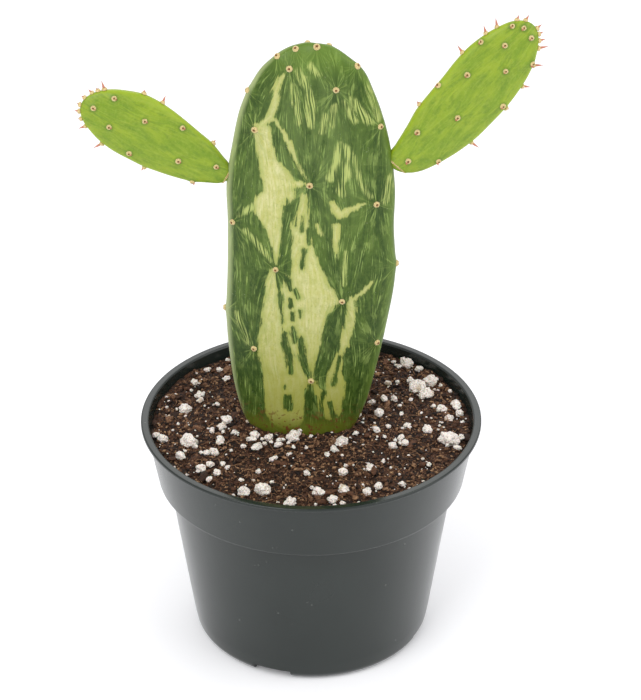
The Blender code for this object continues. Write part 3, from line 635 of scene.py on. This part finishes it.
class Paddle:
    """A flat stem joint: local Z runs from base to tip and local -Y is its front."""

    def __init__(self, length, width, thickness, outline, depth, place, cup=0.0):
        self.length = length
        self.width = width
        self.thickness = thickness
        self.shares = [(along, share) for along, share, _ in outline]
        self.shifts = [(along, shift * MM) for along, _, shift in outline]
        self.depth = depth
        self.turn = np.array(place.to_3x3())
        self.foot = np.array(place.to_translation())
        self.cup = cup

    def half_width(self, along):
        return np.maximum(smooth_curve(self.shares, along), 0) * self.width / 2

    def half_depth(self, along):
        return np.maximum(smooth_curve(self.depth, along), 0) * self.thickness / 2

    def section(self, along, x, y):
        """Local points from a share of the length and of the two half sizes."""
        from_middle = self.half_width(along) * x
        back = self.cup * (from_middle / (self.width / 2)) ** 2
        side = smooth_curve(self.shifts, along) + from_middle
        return np.stack([side, back + self.half_depth(along) * y, along * self.length], -1)

    def local(self, along, across, face=-1.0):
        across = np.clip(across, -1.0, 1.0)
        bulge = (1 - np.abs(across) ** SECTION_POWER) ** (1 / SECTION_POWER)
        return self.section(np.asarray(along, float), across, face * bulge)

    def world(self, points):
        return np.asarray(points) @ self.turn.T + self.foot

    def point(self, along, across, face=-1.0):
        return self.world(self.local(along, across, face))

    def normal(self, along, across, face=-1.0):
        """The outward direction, or straight out in the paddle's plane at its edges."""
        step = 0.01
        low = self.local(max(along - step, 0.0), across, face)
        high = self.local(min(along + step, 1.0), across, face)
        rise = high - low
        if abs(across) > 0.99:
            side = math.copysign(1.0, across)
            outward = np.array([side * rise[2], 0.0, -side * rise[0]])
        else:
            left = self.local(along, across - step, face)
            right = self.local(along, across + step, face)
            outward = -face * np.cross(right - left, rise)
        outward = self.turn @ outward
        return outward / np.linalg.norm(outward)

    def around(self, fine, coarse):
        """Unit section points, evenly spaced: fine steps on the front, coarse ones behind."""
        angle = np.linspace(0.0, math.tau, 20001)
        power = 2 / SECTION_POWER
        x = np.sign(np.cos(angle)) * np.abs(np.cos(angle)) ** power
        y = np.sign(np.sin(angle)) * np.abs(np.sin(angle)) ** power
        step = np.hypot(np.diff(x) * self.width / 2, np.diff(y) * self.thickness / 2)
        step = step / np.where(y[1:] < 0, fine, coarse)
        length = np.concatenate([[0.0], np.cumsum(step)])
        count = int(length[-1])
        places = np.linspace(0.0, length[-1], count, endpoint=False)
        return np.interp(places, length, x), np.interp(places, length, y)

    def rows(self, step, buried=0.0):
        """Shares along, evenly spaced on the outline, with coarse rows where it is buried."""
        along = (1 - np.cos(np.linspace(0.0, math.pi, 8001))) / 2
        moved = np.hypot(np.diff(self.half_width(along)), np.diff(along) * self.length)
        moved = moved / np.where(along[1:] < buried, 4 * step, step)
        length = np.concatenate([[0.0], np.cumsum(moved)])
        return np.interp(np.arange(1, int(length[-1])), length, along)


def upright(turn, lean, twist):
    """A turn about Z, a lean to the side and a twist about the paddle, in degrees."""
    turned = Matrix.Rotation(math.radians(turn), 4, 'Z')
    leaned = Matrix.Rotation(math.radians(lean), 4, 'Y')
    return turned @ leaned @ Matrix.Rotation(math.radians(twist), 4, 'Z')


def old_paddle():
    """The old paddle, standing where its CAD node stands."""
    foot = Matrix.Translation((0.0, PARENT_BACK, parent_box[0].z))
    place = foot @ Matrix.Rotation(PARENT_TURN, 4, 'Z')
    length = parent_box[1].z - parent_box[0].z
    return Paddle(length, PARENT_WIDTH, PARENT_THICKNESS, PARENT_OUTLINE, PARENT_DEPTH,
                  place, PARENT_CUP)


def young_paddle(parent, seat, side, turns, sizes, outline):
    """A young paddle that starts just inside the old one's edge."""
    start = parent.point(seat, side) - parent.normal(seat, side) * YOUNG_SUNK
    place = Matrix.Translation(start) @ upright(*turns)
    return Paddle(*sizes, outline, YOUNG_DEPTH, place)


def stroke_depth(points, strokes):
    """The distance outside the nearest stroke, in mm, and negative inside it."""
    nearest = np.full(len(points), 9.0)
    for stroke in strokes:
        for (x1, z1, w1), (x2, z2, w2) in zip(stroke, stroke[1:]):
            run = np.array([x2 - x1, z2 - z1])
            share = np.clip(((points - (x1, z1)) @ run) / (run @ run), 0, 1)
            gap = np.linalg.norm(points - (x1, z1) - share[:, None] * run, axis=1)
            nearest = np.minimum(nearest, gap - (w1 + (w2 - w1) * share))
    return nearest


def gathered(x, z, centres):
    """Sideways places that draw together above and below each areole, in mm."""
    points = np.stack([x, z * 0.6, np.zeros_like(x)], -1)
    drawn = x + 0.9 * lumps(points, 13.0, 8.0) + 0.35 * lumps(points, 4.0, 5.0)
    for cx, cz in centres:
        off = x - cx
        gap = np.hypot(off, 0.45 * (z - cz))
        drawn += 2.2 * off * np.exp(-gap / 4.2)
    return drawn


def spokes(x, z, centres):
    """Places for noise that runs out from the nearest areole like spokes, and the reach."""
    off = x[:, None] - np.array([cx for cx, _ in centres])
    up = z[:, None] - np.array([cz for _, cz in centres])
    gap = np.hypot(off, 0.5 * up)
    near = np.argmin(gap, axis=1)
    every = np.arange(len(x))
    off, up, gap = off[every, near], up[every, near], gap[every, near]
    reach = np.hypot(off, up) + 0.01
    turned_to = np.stack([4.0 * off / reach, 4.0 * up / reach, 0.09 * reach + 7.0 * near], -1)
    upward = 0.2 + 0.8 * np.abs(up) / reach
    return turned_to, upward * np.exp(-(gap / 8.0) ** 2)


def paddle_shape(paddle, steps, buried, areoles, mound):
    """The closed skin mesh: points, faces, and values for each vertex.

    The values are its local place in mm, its share across, which face it is on, and how
    far the nearest areole is in mm.
    """
    fine, coarse, step = steps
    x, y = paddle.around(fine, coarse)
    rows = paddle.rows(step, buried)
    along = np.repeat(rows, len(x))
    across = np.tile(x, len(rows))
    local = paddle.section(along, across, np.tile(y, len(rows)))
    face = np.where(np.tile(y, len(rows)) <= 0, -1.0, 1.0)
    ends = paddle.section(np.array([0.0, 1.0]), 0.0, 0.0)
    local = np.vstack([local, ends])
    face = np.concatenate([face, [-1.0, -1.0]])
    across = np.concatenate([across, [0.0, 0.0]])
    wide = len(x)
    grid = np.arange(len(rows) * wide).reshape(len(rows), wide)
    nxt = np.roll(grid, -1, axis=1)
    quads = np.stack([grid[:-1], nxt[:-1], nxt[1:], grid[1:]], -1).reshape(-1, 4).tolist()
    low, high = len(along), len(along) + 1
    quads += [[low, b, a] for a, b in zip(grid[0].tolist(), nxt[0].tolist())]
    quads += [[a, b, high] for a, b in zip(grid[-1].tolist(), nxt[-1].tolist())]
    points = paddle.world(local)
    halo = np.full(len(points), 9.0)
    height, width = mound
    for along_at, across_at, side in areoles:
        centre = paddle.point(along_at, across_at, side)
        gap = np.linalg.norm(points - centre, axis=1)
        halo = np.minimum(halo, gap / MM)
        out = paddle.normal(along_at, across_at, side)
        points = points + out * (height * np.exp(-(gap / width) ** 2))[:, None]
    return points, quads, local / MM, across, face, halo


def both_faces(places):
    """Areoles on the front, and the same ones mirrored on the back."""
    front = [(along, across, -1.0) for along, across in places]
    back = [(along, -across, 1.0) for along, across in places if abs(across) < 0.9]
    return front + back


def areole_centres(paddle, places):
    """Each areole's place on the paddle's own X and Z, in mm."""
    local = [paddle.local(along, across) / MM for along, across in places]
    return [(point[0], point[2]) for point in local]


def build_parent(paddle, material):
    """The old paddle's skin, with the values that its material's pattern is made from."""
    areoles = both_faces(PARENT_AREOLES)
    buried = (MIX_TOP - paddle.foot[2]) / paddle.length
    points, faces, local, across, face, _ = paddle_shape(
        paddle, PARENT_STEPS, buried * 0.75, areoles, PARENT_MOUND)
    x = -face * local[:, 0]
    rise = local[:, 2] - buried * paddle.length / MM
    behind = face > 0
    x[behind] += 5.0 * lumps(local[behind] * (1, 1, 0.5), 22.0, 3.0)
    centres = [(cx, cz - buried * paddle.length / MM)
               for cx, cz in areole_centres(paddle, PARENT_AREOLES)]
    places = np.stack([x, rise], -1)
    cream = np.maximum(stroke_depth(places, CREAM_STROKES),
                       DARK_SPREAD - stroke_depth(places, DARK_STROKES))
    drawn = gathered(x, rise, centres)
    flow = np.stack([drawn, rise, np.where(behind, 40.0, 0.0)], -1)
    spoke, spoke_reach = spokes(x, rise, centres)
    values = {"cream": cream, "faint": stroke_depth(places, FAINT_STROKES), "flow": flow,
              "rise": rise, "side": across, "spoke": spoke, "spoke_reach": spoke_reach}
    return new_piece("parent_skin", points, faces, material,
                     ["parent_paddle"], values)


def build_young(name, paddle, places, material, seed):
    """A young paddle's skin. The seed keeps the two from having one pattern."""
    areoles = both_faces(places)
    points, faces, local, across, face, halo = paddle_shape(
        paddle, YOUNG_STEPS, 0.0, areoles, YOUNG_MOUND)
    drawn = gathered(local[:, 0], local[:, 2], areole_centres(paddle, places))
    shift = seed + np.where(face > 0, 40.0, 0.0)
    flow = np.stack([drawn, local[:, 2], shift], -1)
    values = {"flow": flow, "margin": np.abs(across), "halo": halo}
    return new_piece(name + "_skin", points, faces, material,
                     [name + "_young_paddle"], values)


# ---------------------------------------------------------------- areoles and leaves

CUSHION = ball(3)


def add_cushion(parts, centre, outward, radius, height, rng):
    """A felted cushion with a raised ring round a dimple."""
    points, faces = CUSHION
    flat = np.hypot(points[:, 0], points[:, 1])
    raised = 0.45 * np.exp(-((flat - 0.62) / 0.28) ** 2)
    dimple = 0.25 * np.exp(-(flat / 0.3) ** 2)
    ring = 0.55 + raised - dimple
    shape = points * (radius, radius, height)
    shape[:, 2] *= np.where(points[:, 2] > 0, ring, 0.6)
    rough = lumps(points, 0.5, rng.uniform(0, 90))
    shape *= (1 + 0.16 * rough)[:, None]
    parts.add(shape @ facing(outward).T + centre, faces, heart=flat)


def add_bristles(parts, centre, outward, count, length, rng):
    """Short fine bristles that fan out of an areole's heart."""
    turn = facing(outward)
    for _ in range(count):
        around = rng.uniform(0, math.tau)
        tilt = rng.uniform(0.1, 0.75)
        direction = turn @ (math.sin(tilt) * math.cos(around),
                            math.sin(tilt) * math.sin(around), math.cos(tilt))
        root = centre + turn @ (0.35 * MM * math.cos(around), 0.35 * MM * math.sin(around), 0)
        reach = length * rng.uniform(0.6, 1.0)
        corner = facing(direction)
        foot = [root + corner @ (0.08 * MM * math.cos(a), 0.08 * MM * math.sin(a), 0.0)
                for a in (0.0, math.tau / 3, 2 * math.tau / 3)]
        tip = root + direction * reach
        parts.add(foot + [tip], [[0, 1, 3], [1, 2, 3], [2, 0, 3], [2, 1, 0]], heart=0.0)


def add_leaf(parts, foot, direction, droop, length, radius):
    """A curved, tapering awl leaf of round section."""
    sides, rows = 12, 12
    share = np.linspace(0.0, 1.0, rows)
    spine = foot + np.outer(share * length, direction) + np.outer(share**2 * length, droop)
    belly = 0.82 + 0.25 * np.sin(share * math.pi) ** 2
    spread = radius * (1 - share**1.6) ** 0.9 * belly
    turn = facing(direction)
    angles = np.arange(sides) * math.tau / sides
    circle = np.stack([np.cos(angles), np.sin(angles), 0 * angles], -1) @ turn.T
    rings = spine[:-1, None] + circle[None] * spread[:-1, None, None]
    points = np.vstack([rings.reshape(-1, 3), spine[-1:], spine[:1]])
    faces = []
    for row in range(rows - 2):
        for i in range(sides):
            a, b = row * sides + i, row * sides + (i + 1) % sides
            faces.append([a, b, b + sides, a + sides])
    top = (rows - 2) * sides
    tip, base = (rows - 1) * sides, (rows - 1) * sides + 1
    faces += [[top + i, top + (i + 1) % sides, tip] for i in range(sides)]
    faces += [[(i + 1) % sides, i, base] for i in range(sides)]
    along = np.concatenate([np.repeat(share[:-1], sides), [1.0, 0.0]])
    parts.add(points, faces, along=along)


def build_areoles(name, paddle, places, edge_places, radius, height, bristles, stands_for,
                  felt, rng):
    """The areoles of both faces and of the edge, each with a tuft of bristles."""
    parts = Parts("heart")
    for along, across, side in both_faces(places) + edge_places:
        outward = paddle.normal(along, across, side)
        centre = paddle.point(along, across, side) + outward * 0.35 * height
        size = radius * rng.uniform(0.9, 1.1)
        add_cushion(parts, centre, outward, size, height, rng)
        add_bristles(parts, centre + outward * 0.2 * height, outward, bristles, 1.1 * MM, rng)
    return parts.piece(name, felt, stands_for)


def build_leaves(name, paddle, leaves, places, stands_for, material, rng):
    """Edge leaves, and a short leaf under each areole of the two faces."""
    parts = Parts("along")
    tipwards = paddle.turn @ (0.0, 0.0, 1.0)
    for along, side, lean, length in leaves:
        outward = paddle.normal(along, float(side))
        tilt = math.radians(lean)
        direction = outward * math.cos(tilt) + tipwards * math.sin(tilt)
        foot = paddle.point(along, float(side)) - outward * 0.3 * MM
        add_leaf(parts, foot, direction, tipwards * 0.10, length * MM, LEAF_RADIUS)
    for along, across, side in both_faces(places):
        outward = paddle.normal(along, across, side)
        direction = outward - tipwards * rng.uniform(0.15, 0.35)
        direction /= np.linalg.norm(direction)
        foot = paddle.point(along, across, side) - tipwards * 0.75 * MM
        length = rng.uniform(1.7, 2.6) * MM
        add_leaf(parts, foot, direction, tipwards * 0.2, length, LEAF_RADIUS * 0.8)
    return parts.piece(name, material, stands_for)


def build_collar(name, paddle, felt, rng):
    """The felted scar round a young paddle's neck, where it grows from the old edge."""
    parts = Parts("heart")
    neck = 0.028                        # share of the paddle's length
    count = 44
    for i in range(count):
        angle = math.tau * i / count
        x, y = math.cos(angle), math.sin(angle)
        spot = paddle.world(paddle.section(np.array(neck), x, y))
        out = paddle.turn @ np.array((x, y, 0.0))
        lump = rng.uniform(0.35, 0.5) * MM
        add_cushion(parts, spot + out * 0.1 * MM, out, lump, lump * 0.8, rng)
    return parts.piece(name, felt)


# ---------------------------------------------------------------- the pot

def rounded(corners, steps=6):
    """A path of (radius, height, fillet) corners, with each fillet as a curve."""
    path = []
    for i, (r, z, fillet) in enumerate(corners):
        here = Vector((r, z))
        if fillet == 0.0 or i in (0, len(corners) - 1):
            path.append(here)
            continue
        before = here + (Vector(corners[i - 1][:2]) - here).normalized() * fillet
        after = here + (Vector(corners[i + 1][:2]) - here).normalized() * fillet
        for k in range(steps + 1):
            share = k / steps
            path.append(before.lerp(here, share).lerp(here.lerp(after, share), share))
    return path


def turned(path, steps):
    """A closed turned mesh from a (radius, height) path that starts and ends on the axis."""
    rings = path[1:-1]
    angles = np.arange(steps) * math.tau / steps
    points = [(r * math.cos(a), r * math.sin(a), z) for r, z in rings for a in angles]
    points += [(0.0, 0.0, path[0][1]), (0.0, 0.0, path[-1][1])]
    faces = []
    for row in range(len(rings) - 1):
        for i in range(steps):
            a, b = row * steps + i, row * steps + (i + 1) % steps
            faces.append([b, a, a + steps, b + steps])
    first, last = len(rings) * steps, len(rings) * steps + 1
    end = (len(rings) - 1) * steps
    faces += [[first, i, (i + 1) % steps] for i in range(steps)]
    faces += [[last, end + (i + 1) % steps, end + i] for i in range(steps)]
    return points, faces


def cut_box(target, turn, inner, outer, width, low, high):
    """Cuts a box out of a mesh object. The box spans two radii and two heights."""
    bm = bmesh.new()
    size = Matrix.Diagonal((outer - inner, width, high - low, 1.0))
    middle = Matrix.Translation(((outer + inner) / 2, 0.0, (high + low) / 2))
    bmesh.ops.create_cube(bm, size=1.0, matrix=turn @ middle @ size)
    mesh = bpy.data.meshes.new("drain_cutter")
    bm.to_mesh(mesh)
    bm.free()
    cutter = placed("drain_cutter", mesh)
    modifier = target.modifiers.new("drain", 'BOOLEAN')
    modifier.operation = 'DIFFERENCE'
    modifier.object = cutter
    return cutter


def build_pot(material):
    inner = BAND_TOP_RADIUS - POT_WALL
    slope = FOOT_DRAFT / (FOOT_HEIGHT - CHAMFER_HEIGHT)
    foot_inner = CHAMFER_RADIUS + slope * (FLOOR_TOP - CHAMFER_HEIGHT) - POT_WALL
    ring_inner = FOOT_RADIUS - FOOT_RING_WIDTH
    path = rounded([
        (0.0, FLOOR_TOP, 0.0), (foot_inner, FLOOR_TOP, 2 * MM),
        (WALL_FOOT_RADIUS - POT_WALL, FOOT_HEIGHT, 0.5 * MM),
        (WALL_TOP_RADIUS - POT_WALL, STEP_TOP + POT_WALL, 0.8 * MM),
        (BAND_FOOT_RADIUS - POT_WALL, STEP_TOP + POT_WALL, 0.8 * MM),
        (inner, POT_HEIGHT, 1.0 * MM), (RIM_RADIUS, POT_HEIGHT, 0.75 * MM),
        (RIM_RADIUS, POT_HEIGHT - LIP_THICKNESS, 0.6 * MM),
        (BAND_TOP_RADIUS, POT_HEIGHT - LIP_THICKNESS, 1.6 * MM),
        (BAND_FOOT_RADIUS, STEP_TOP, 1.2 * MM), (WALL_TOP_RADIUS, STEP_TOP, 1.0 * MM),
        (WALL_FOOT_RADIUS, FOOT_HEIGHT, 1.5 * MM),
        (CHAMFER_RADIUS, CHAMFER_HEIGHT, 1.8 * MM), (FOOT_RADIUS, 0.0, 0.4 * MM),
        (ring_inner, 0.0, 0.3 * MM), (ring_inner, FLOOR_HEIGHT, 0.0), (0.0, FLOOR_HEIGHT, 0.0)])
    points, faces = turned(path, POT_STEPS)
    pot = new_piece("pot", points, faces, material, ["nursery_pot"])
    below = -DRAIN_CLEAR
    slot_outer = ring_inner - SLOT_INSET
    cutters = []
    for i in range(DRAIN_COUNT):
        turn = Matrix.Rotation(DRAIN_TURN + i * math.tau / DRAIN_COUNT, 4, 'Z')
        cutters.append(cut_box(pot, turn, ring_inner - 1 * MM,
                               WALL_FOOT_RADIUS + DRAIN_CLEAR, NOTCH_WIDTH, below,
                               NOTCH_HEIGHT))
        cutters.append(cut_box(pot, turn, slot_outer - SLOT_LENGTH, slot_outer, SLOT_WIDTH,
                               below, FLOOR_TOP + 2 * MM))
    graph = bpy.context.evaluated_depsgraph_get()
    cut_mesh = bpy.data.meshes.new_from_object(pot.evaluated_get(graph))
    pot.modifiers.clear()
    pot.data = cut_mesh
    cut_mesh.shade_smooth()
    cut_mesh.set_sharp_from_angle(angle=math.radians(32.0))
    for cutter in cutters:
        bpy.data.objects.remove(cutter, do_unlink=True)
    return pot


# ---------------------------------------------------------------- the potting mix

def mix_edge():
    """The radius of the pot's inside at the mix's top, a little way clear."""
    slope = BAND_DRAFT / (BAND_HEIGHT - LIP_THICKNESS)
    inside = BAND_TOP_RADIUS - POT_WALL - slope * (MIX_BELOW_RIM - LIP_THICKNESS)
    return inside - MIX_CLEAR


def mix_height(x, y):
    """The height of the mix's top: broad lumps, then smaller ones."""
    height = 0.0
    for lump, spacing, level in MIX_LUMPS:
        height += lump * MM * noise.noise(Vector((x, y, level * MM)) / (spacing * MM))
    return MIX_TOP + height


def build_mix_body(material):
    """The closed body of the mix: a lumpy top, a skirt down the pot's wall and a floor."""
    edge = mix_edge()
    rings = int(edge / (0.75 * MM))
    steps = 420
    path = [(edge * i / rings, MIX_TOP) for i in range(rings + 1)]
    clear = POT_WALL + MIX_CLEAR
    path += [(BAND_FOOT_RADIUS - clear, STEP_TOP + clear), (WALL_TOP_RADIUS - clear, STEP_TOP),
             (WALL_FOOT_RADIUS - clear, FOOT_HEIGHT + clear), (0.0, FLOOR_TOP + clear)]
    path = [Vector(place) for place in path]
    points, faces = turned(path, steps)
    points = np.array(points)
    top = points[:, 2] > MIX_TOP - 0.1 * MM
    points[top, 2] = [mix_height(x, y) for x, y, _ in points[top]]
    tone = 0.25 + 0.35 * lumps(points, 4 * MM, 5.0)
    faces = [face[::-1] for face in faces]      # this path runs from the top down
    return new_piece("mix_body", points, faces, material,
                     ["potting_mix"], {"tone": tone})


def scattered(rng, count, outline, reach=1.0):
    """Seeded (x, y) places all over the mix's top, clear of the old paddle's foot."""
    edge = mix_edge() * reach
    found = []
    while len(found) < count:
        radius = edge * math.sqrt(rng.uniform())
        angle = rng.uniform(0, math.tau)
        x, y = radius * math.cos(angle), radius * math.sin(angle)
        if not outline(x, y):
            found.append((x, y))
    return found


def paddle_footprint(paddle):
    """A test of whether a place on the mix is inside the old paddle."""
    along = np.array((MIX_TOP - paddle.foot[2]) / paddle.length)
    half_width = float(paddle.half_width(along))
    half_depth = float(paddle.half_depth(along))
    middle = float(smooth_curve(paddle.shifts, along))

    def inside(x, y):
        across, through, _ = paddle.turn.T @ (np.array((x, y, paddle.foot[2])) - paddle.foot)
        share = abs((across - middle) / half_width) ** SECTION_POWER
        return share + abs(through / half_depth) ** SECTION_POWER < 0.94
    return inside


def lumpy(unit, size, stretch, rng, rough=0.3, fine=0.0):
    """A unit ball made uneven, stretched and turned at random."""
    scale = np.array(stretch) * size / 2
    uneven = 1 + rough * lumps(unit, 0.7, rng.uniform(0, 400))
    if fine:
        uneven += fine * lumps(unit, 0.25, rng.uniform(0, 400))
    turn = np.array(Matrix.Rotation(rng.uniform(0, math.tau), 3, 'Z')
                    @ Matrix.Rotation(rng.uniform(-0.6, 0.6), 3, 'X'))
    return (unit * uneven[:, None] * scale) @ turn.T


def build_crumbs(name, unit, count, sizes, flat, material, outline, rng, tones):
    """Peat crumbs, or bark chips where the stretch is long, strewn over the mix."""
    points, faces = unit
    parts = Parts("tone")
    for x, y in scattered(rng, count, outline, 0.985):
        size = sizes[0] + (sizes[1] - sizes[0]) * rng.uniform() ** 2.2
        stretch = (rng.uniform(0.9, flat[0]), rng.uniform(0.6, 1.0), rng.uniform(0.45, flat[1]))
        shape = lumpy(points, size, stretch, rng, 0.45)
        rest = mix_height(x, y) + size * rng.uniform(0.0, 0.32)
        parts.add(shape + (x, y, rest), faces, tone=rng.uniform(*tones))
    return parts.piece(name, material)


def build_fibres(material, outline, rng, count):
    """Thin curled root and bark fibres that lie across the mix."""
    parts = Parts("tone")
    sides, rows = 4, 9
    for x, y in scattered(rng, count, outline, 0.95):
        heading = rng.uniform(0, math.tau)
        curl = rng.uniform(-0.35, 0.35)
        step = rng.uniform(3.5, 11.0) * MM / rows
        radius = rng.uniform(0.09, 0.2) * MM
        arch = rng.uniform(0.3, 1.8) * MM
        rings = []
        for row in range(rows):
            share = row / (rows - 1)
            z = mix_height(x, y) + 0.8 * MM + arch * math.sin(share * math.pi)
            sideways = np.array((-math.sin(heading), math.cos(heading), 0.0))
            thin = radius * (1 - 0.75 * share)
            for a in np.arange(sides) * math.tau / sides:
                outward = math.cos(a) * sideways + np.array((0, 0, math.sin(a)))
                rings.append(np.array((x, y, z)) + thin * outward)
            x += step * math.cos(heading)
            y += step * math.sin(heading)
            heading += curl + rng.uniform(-0.25, 0.25)
        if math.hypot(x, y) > mix_edge() * 0.98 or outline(x, y):
            continue
        faces = [[row * sides + i, row * sides + (i + 1) % sides,
                  (row + 1) * sides + (i + 1) % sides, (row + 1) * sides + i]
                 for row in range(rows - 1) for i in range(sides)]
        faces += [[3, 2, 1, 0], [(rows - 1) * sides + i for i in range(sides)]]
        parts.add(rings, faces, tone=rng.uniform(0.5, 1.0))
    return parts.piece("mix_fibres", material)


def build_perlite(material, outline, rng):
    """Perlite: the big named grains, then medium and small ones strewn at random."""
    big = Parts("tone")
    points, faces = ball(4)
    grains = []
    for node in nodes_named("perlite_grain"):
        low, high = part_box(node)
        grains.append((*((low + high) / 2).xy, high.x - low.x))
    grains += [(x * MM, y * MM, size * MM) for x, y, size in PERLITE_GRAINS]
    for x, y, size in grains:
        shape = lumpy(points, size, (1.08, 0.92, 0.8), rng, 0.42, 0.14)
        big.add(shape + (x, y, mix_height(x, y) + 0.22 * size), faces, tone=rng.uniform())
    big.piece("perlite_large", material, nodes_named("perlite_grain"))
    small = Parts("tone")
    for (points, faces), count, low, high in ((ball(3), 150, 1.8, 4.2),
                                              (ball(2), 380, 0.5, 1.6)):
        for x, y in scattered(rng, count, outline, 0.975):
            size = (low + (high - low) * rng.uniform() ** 2) * MM
            stretch = (rng.uniform(0.9, 1.35), rng.uniform(0.75, 1.0), rng.uniform(0.6, 0.9))
            shape = lumpy(points, size, stretch, rng, 0.5, 0.12)
            rest = mix_height(x, y) + size * 0.3 + 0.5 * MM
            small.add(shape + (x, y, rest), faces, tone=rng.uniform())
    small.piece("perlite_small", material)


# ---------------------------------------------------------------- the stage

def build_stage():
    """A white floor, a white surround, soft lamps and the camera."""
    floor_shade = Shading("floor_white", 1.0, Specular_IOR_Level=0.0,
                          Emission_Color=(0.95, 0.96, 1.0, 1.0), Emission_Strength=0.08)
    cloud = floor_shade.noise(floor_shade.place(), 3.0)
    floor_shade.colour(floor_shade.mix(cloud, linear(252, 252, 255), linear(254, 254, 255)))
    bm = bmesh.new()
    bmesh.ops.create_grid(bm, x_segments=8, y_segments=8, size=6.0)
    mesh = bpy.data.meshes.new("floor")
    bm.to_mesh(mesh)
    bm.free()
    mesh.materials.append(floor_shade.material)
    placed("floor", mesh)

    world = bpy.data.worlds.new("white_surround")
    world.use_nodes = True
    sky = world.node_tree.nodes["Background"]
    sky.inputs["Color"].default_value = (1.0, 1.0, 1.0, 1.0)
    sky.inputs["Strength"].default_value = SURROUND_STRENGTH
    bpy.context.scene.world = world
    for name, place, size, power in LAMPS:
        lamp = bpy.data.lights.new(name, 'AREA')
        lamp.size = size
        lamp.energy = power
        placed(name, lamp, place, LAMP_AIM)

    camera = bpy.data.cameras.new("camera")
    camera.lens = CAMERA_LENS
    camera.sensor_width = 36.0
    bpy.context.scene.camera = placed("camera", camera, CAMERA_PLACE, CAMERA_AIM)
    view = bpy.context.scene.view_settings
    view.view_transform = 'Standard'
    view.look = 'None'


# ---------------------------------------------------------------- building it all

old_skin = old_skin_material()
young_skin = young_skin_material()
felt = felt_material()
leaf_red = leaf_material()
peat = mix_material("peat", (20, 11, 6), (82, 52, 34), (168, 132, 98))
bark = mix_material("bark", (40, 23, 14), (92, 60, 40), (156, 120, 88))

parent = old_paddle()
left = young_paddle(parent, LEFT_SEAT, -1.0, LEFT_TURNS, LEFT_SIZES, LEFT_OUTLINE)
right = young_paddle(parent, RIGHT_SEAT, 1.0, RIGHT_TURNS, RIGHT_SIZES, RIGHT_OUTLINE)

build_parent(parent, old_skin)
build_young("left", left, LEFT_AREOLES, young_skin, 3.0)
build_young("right", right, RIGHT_AREOLES, young_skin, 11.0)

chance = np.random.default_rng(7)
build_areoles("parent_areoles", parent, PARENT_AREOLES, [], AREOLE_RADIUS, AREOLE_HEIGHT, 16,
              nodes_named("parent_areole"), felt, chance)
for name, paddle, places, leaves in (("left", left, LEFT_AREOLES, LEFT_LEAVES),
                                     ("right", right, RIGHT_AREOLES, RIGHT_LEAVES)):
    edges = [(along, float(side), -1.0) for along, side, _, _ in leaves]
    build_areoles(name + "_areoles", paddle, places, edges, YOUNG_AREOLE_RADIUS,
                  YOUNG_AREOLE_HEIGHT, 8, nodes_named(name + "_areole"), felt, chance)
    build_leaves(name + "_leaves", paddle, leaves, places, nodes_named(name + "_leaf"),
                 leaf_red, chance)
    build_collar(name + "_collar", paddle, felt, chance)

build_pot(plastic_material())
footprint = paddle_footprint(parent)
build_mix_body(peat)
for name, unit, count, sizes, flat, material, tones in (
        ("mix_grit", ball(1), 9800, (0.5 * MM, 1.6 * MM), (1.9, 0.8), peat, (0.0, 1.0)),
        ("mix_crumbs", ball(2), 2400, (1.0 * MM, 2.6 * MM), (1.7, 0.75), peat, (0.0, 0.85)),
        ("mix_chips", ball(2), 120, (2.0 * MM, 4.4 * MM), (2.2, 0.5), bark, (0.0, 0.8))):
    build_crumbs(name, unit, count, sizes, flat, material, footprint, chance, tones)
build_fibres(bark, footprint, chance, 520)
build_perlite(perlite_material(), footprint, chance)
build_stage()
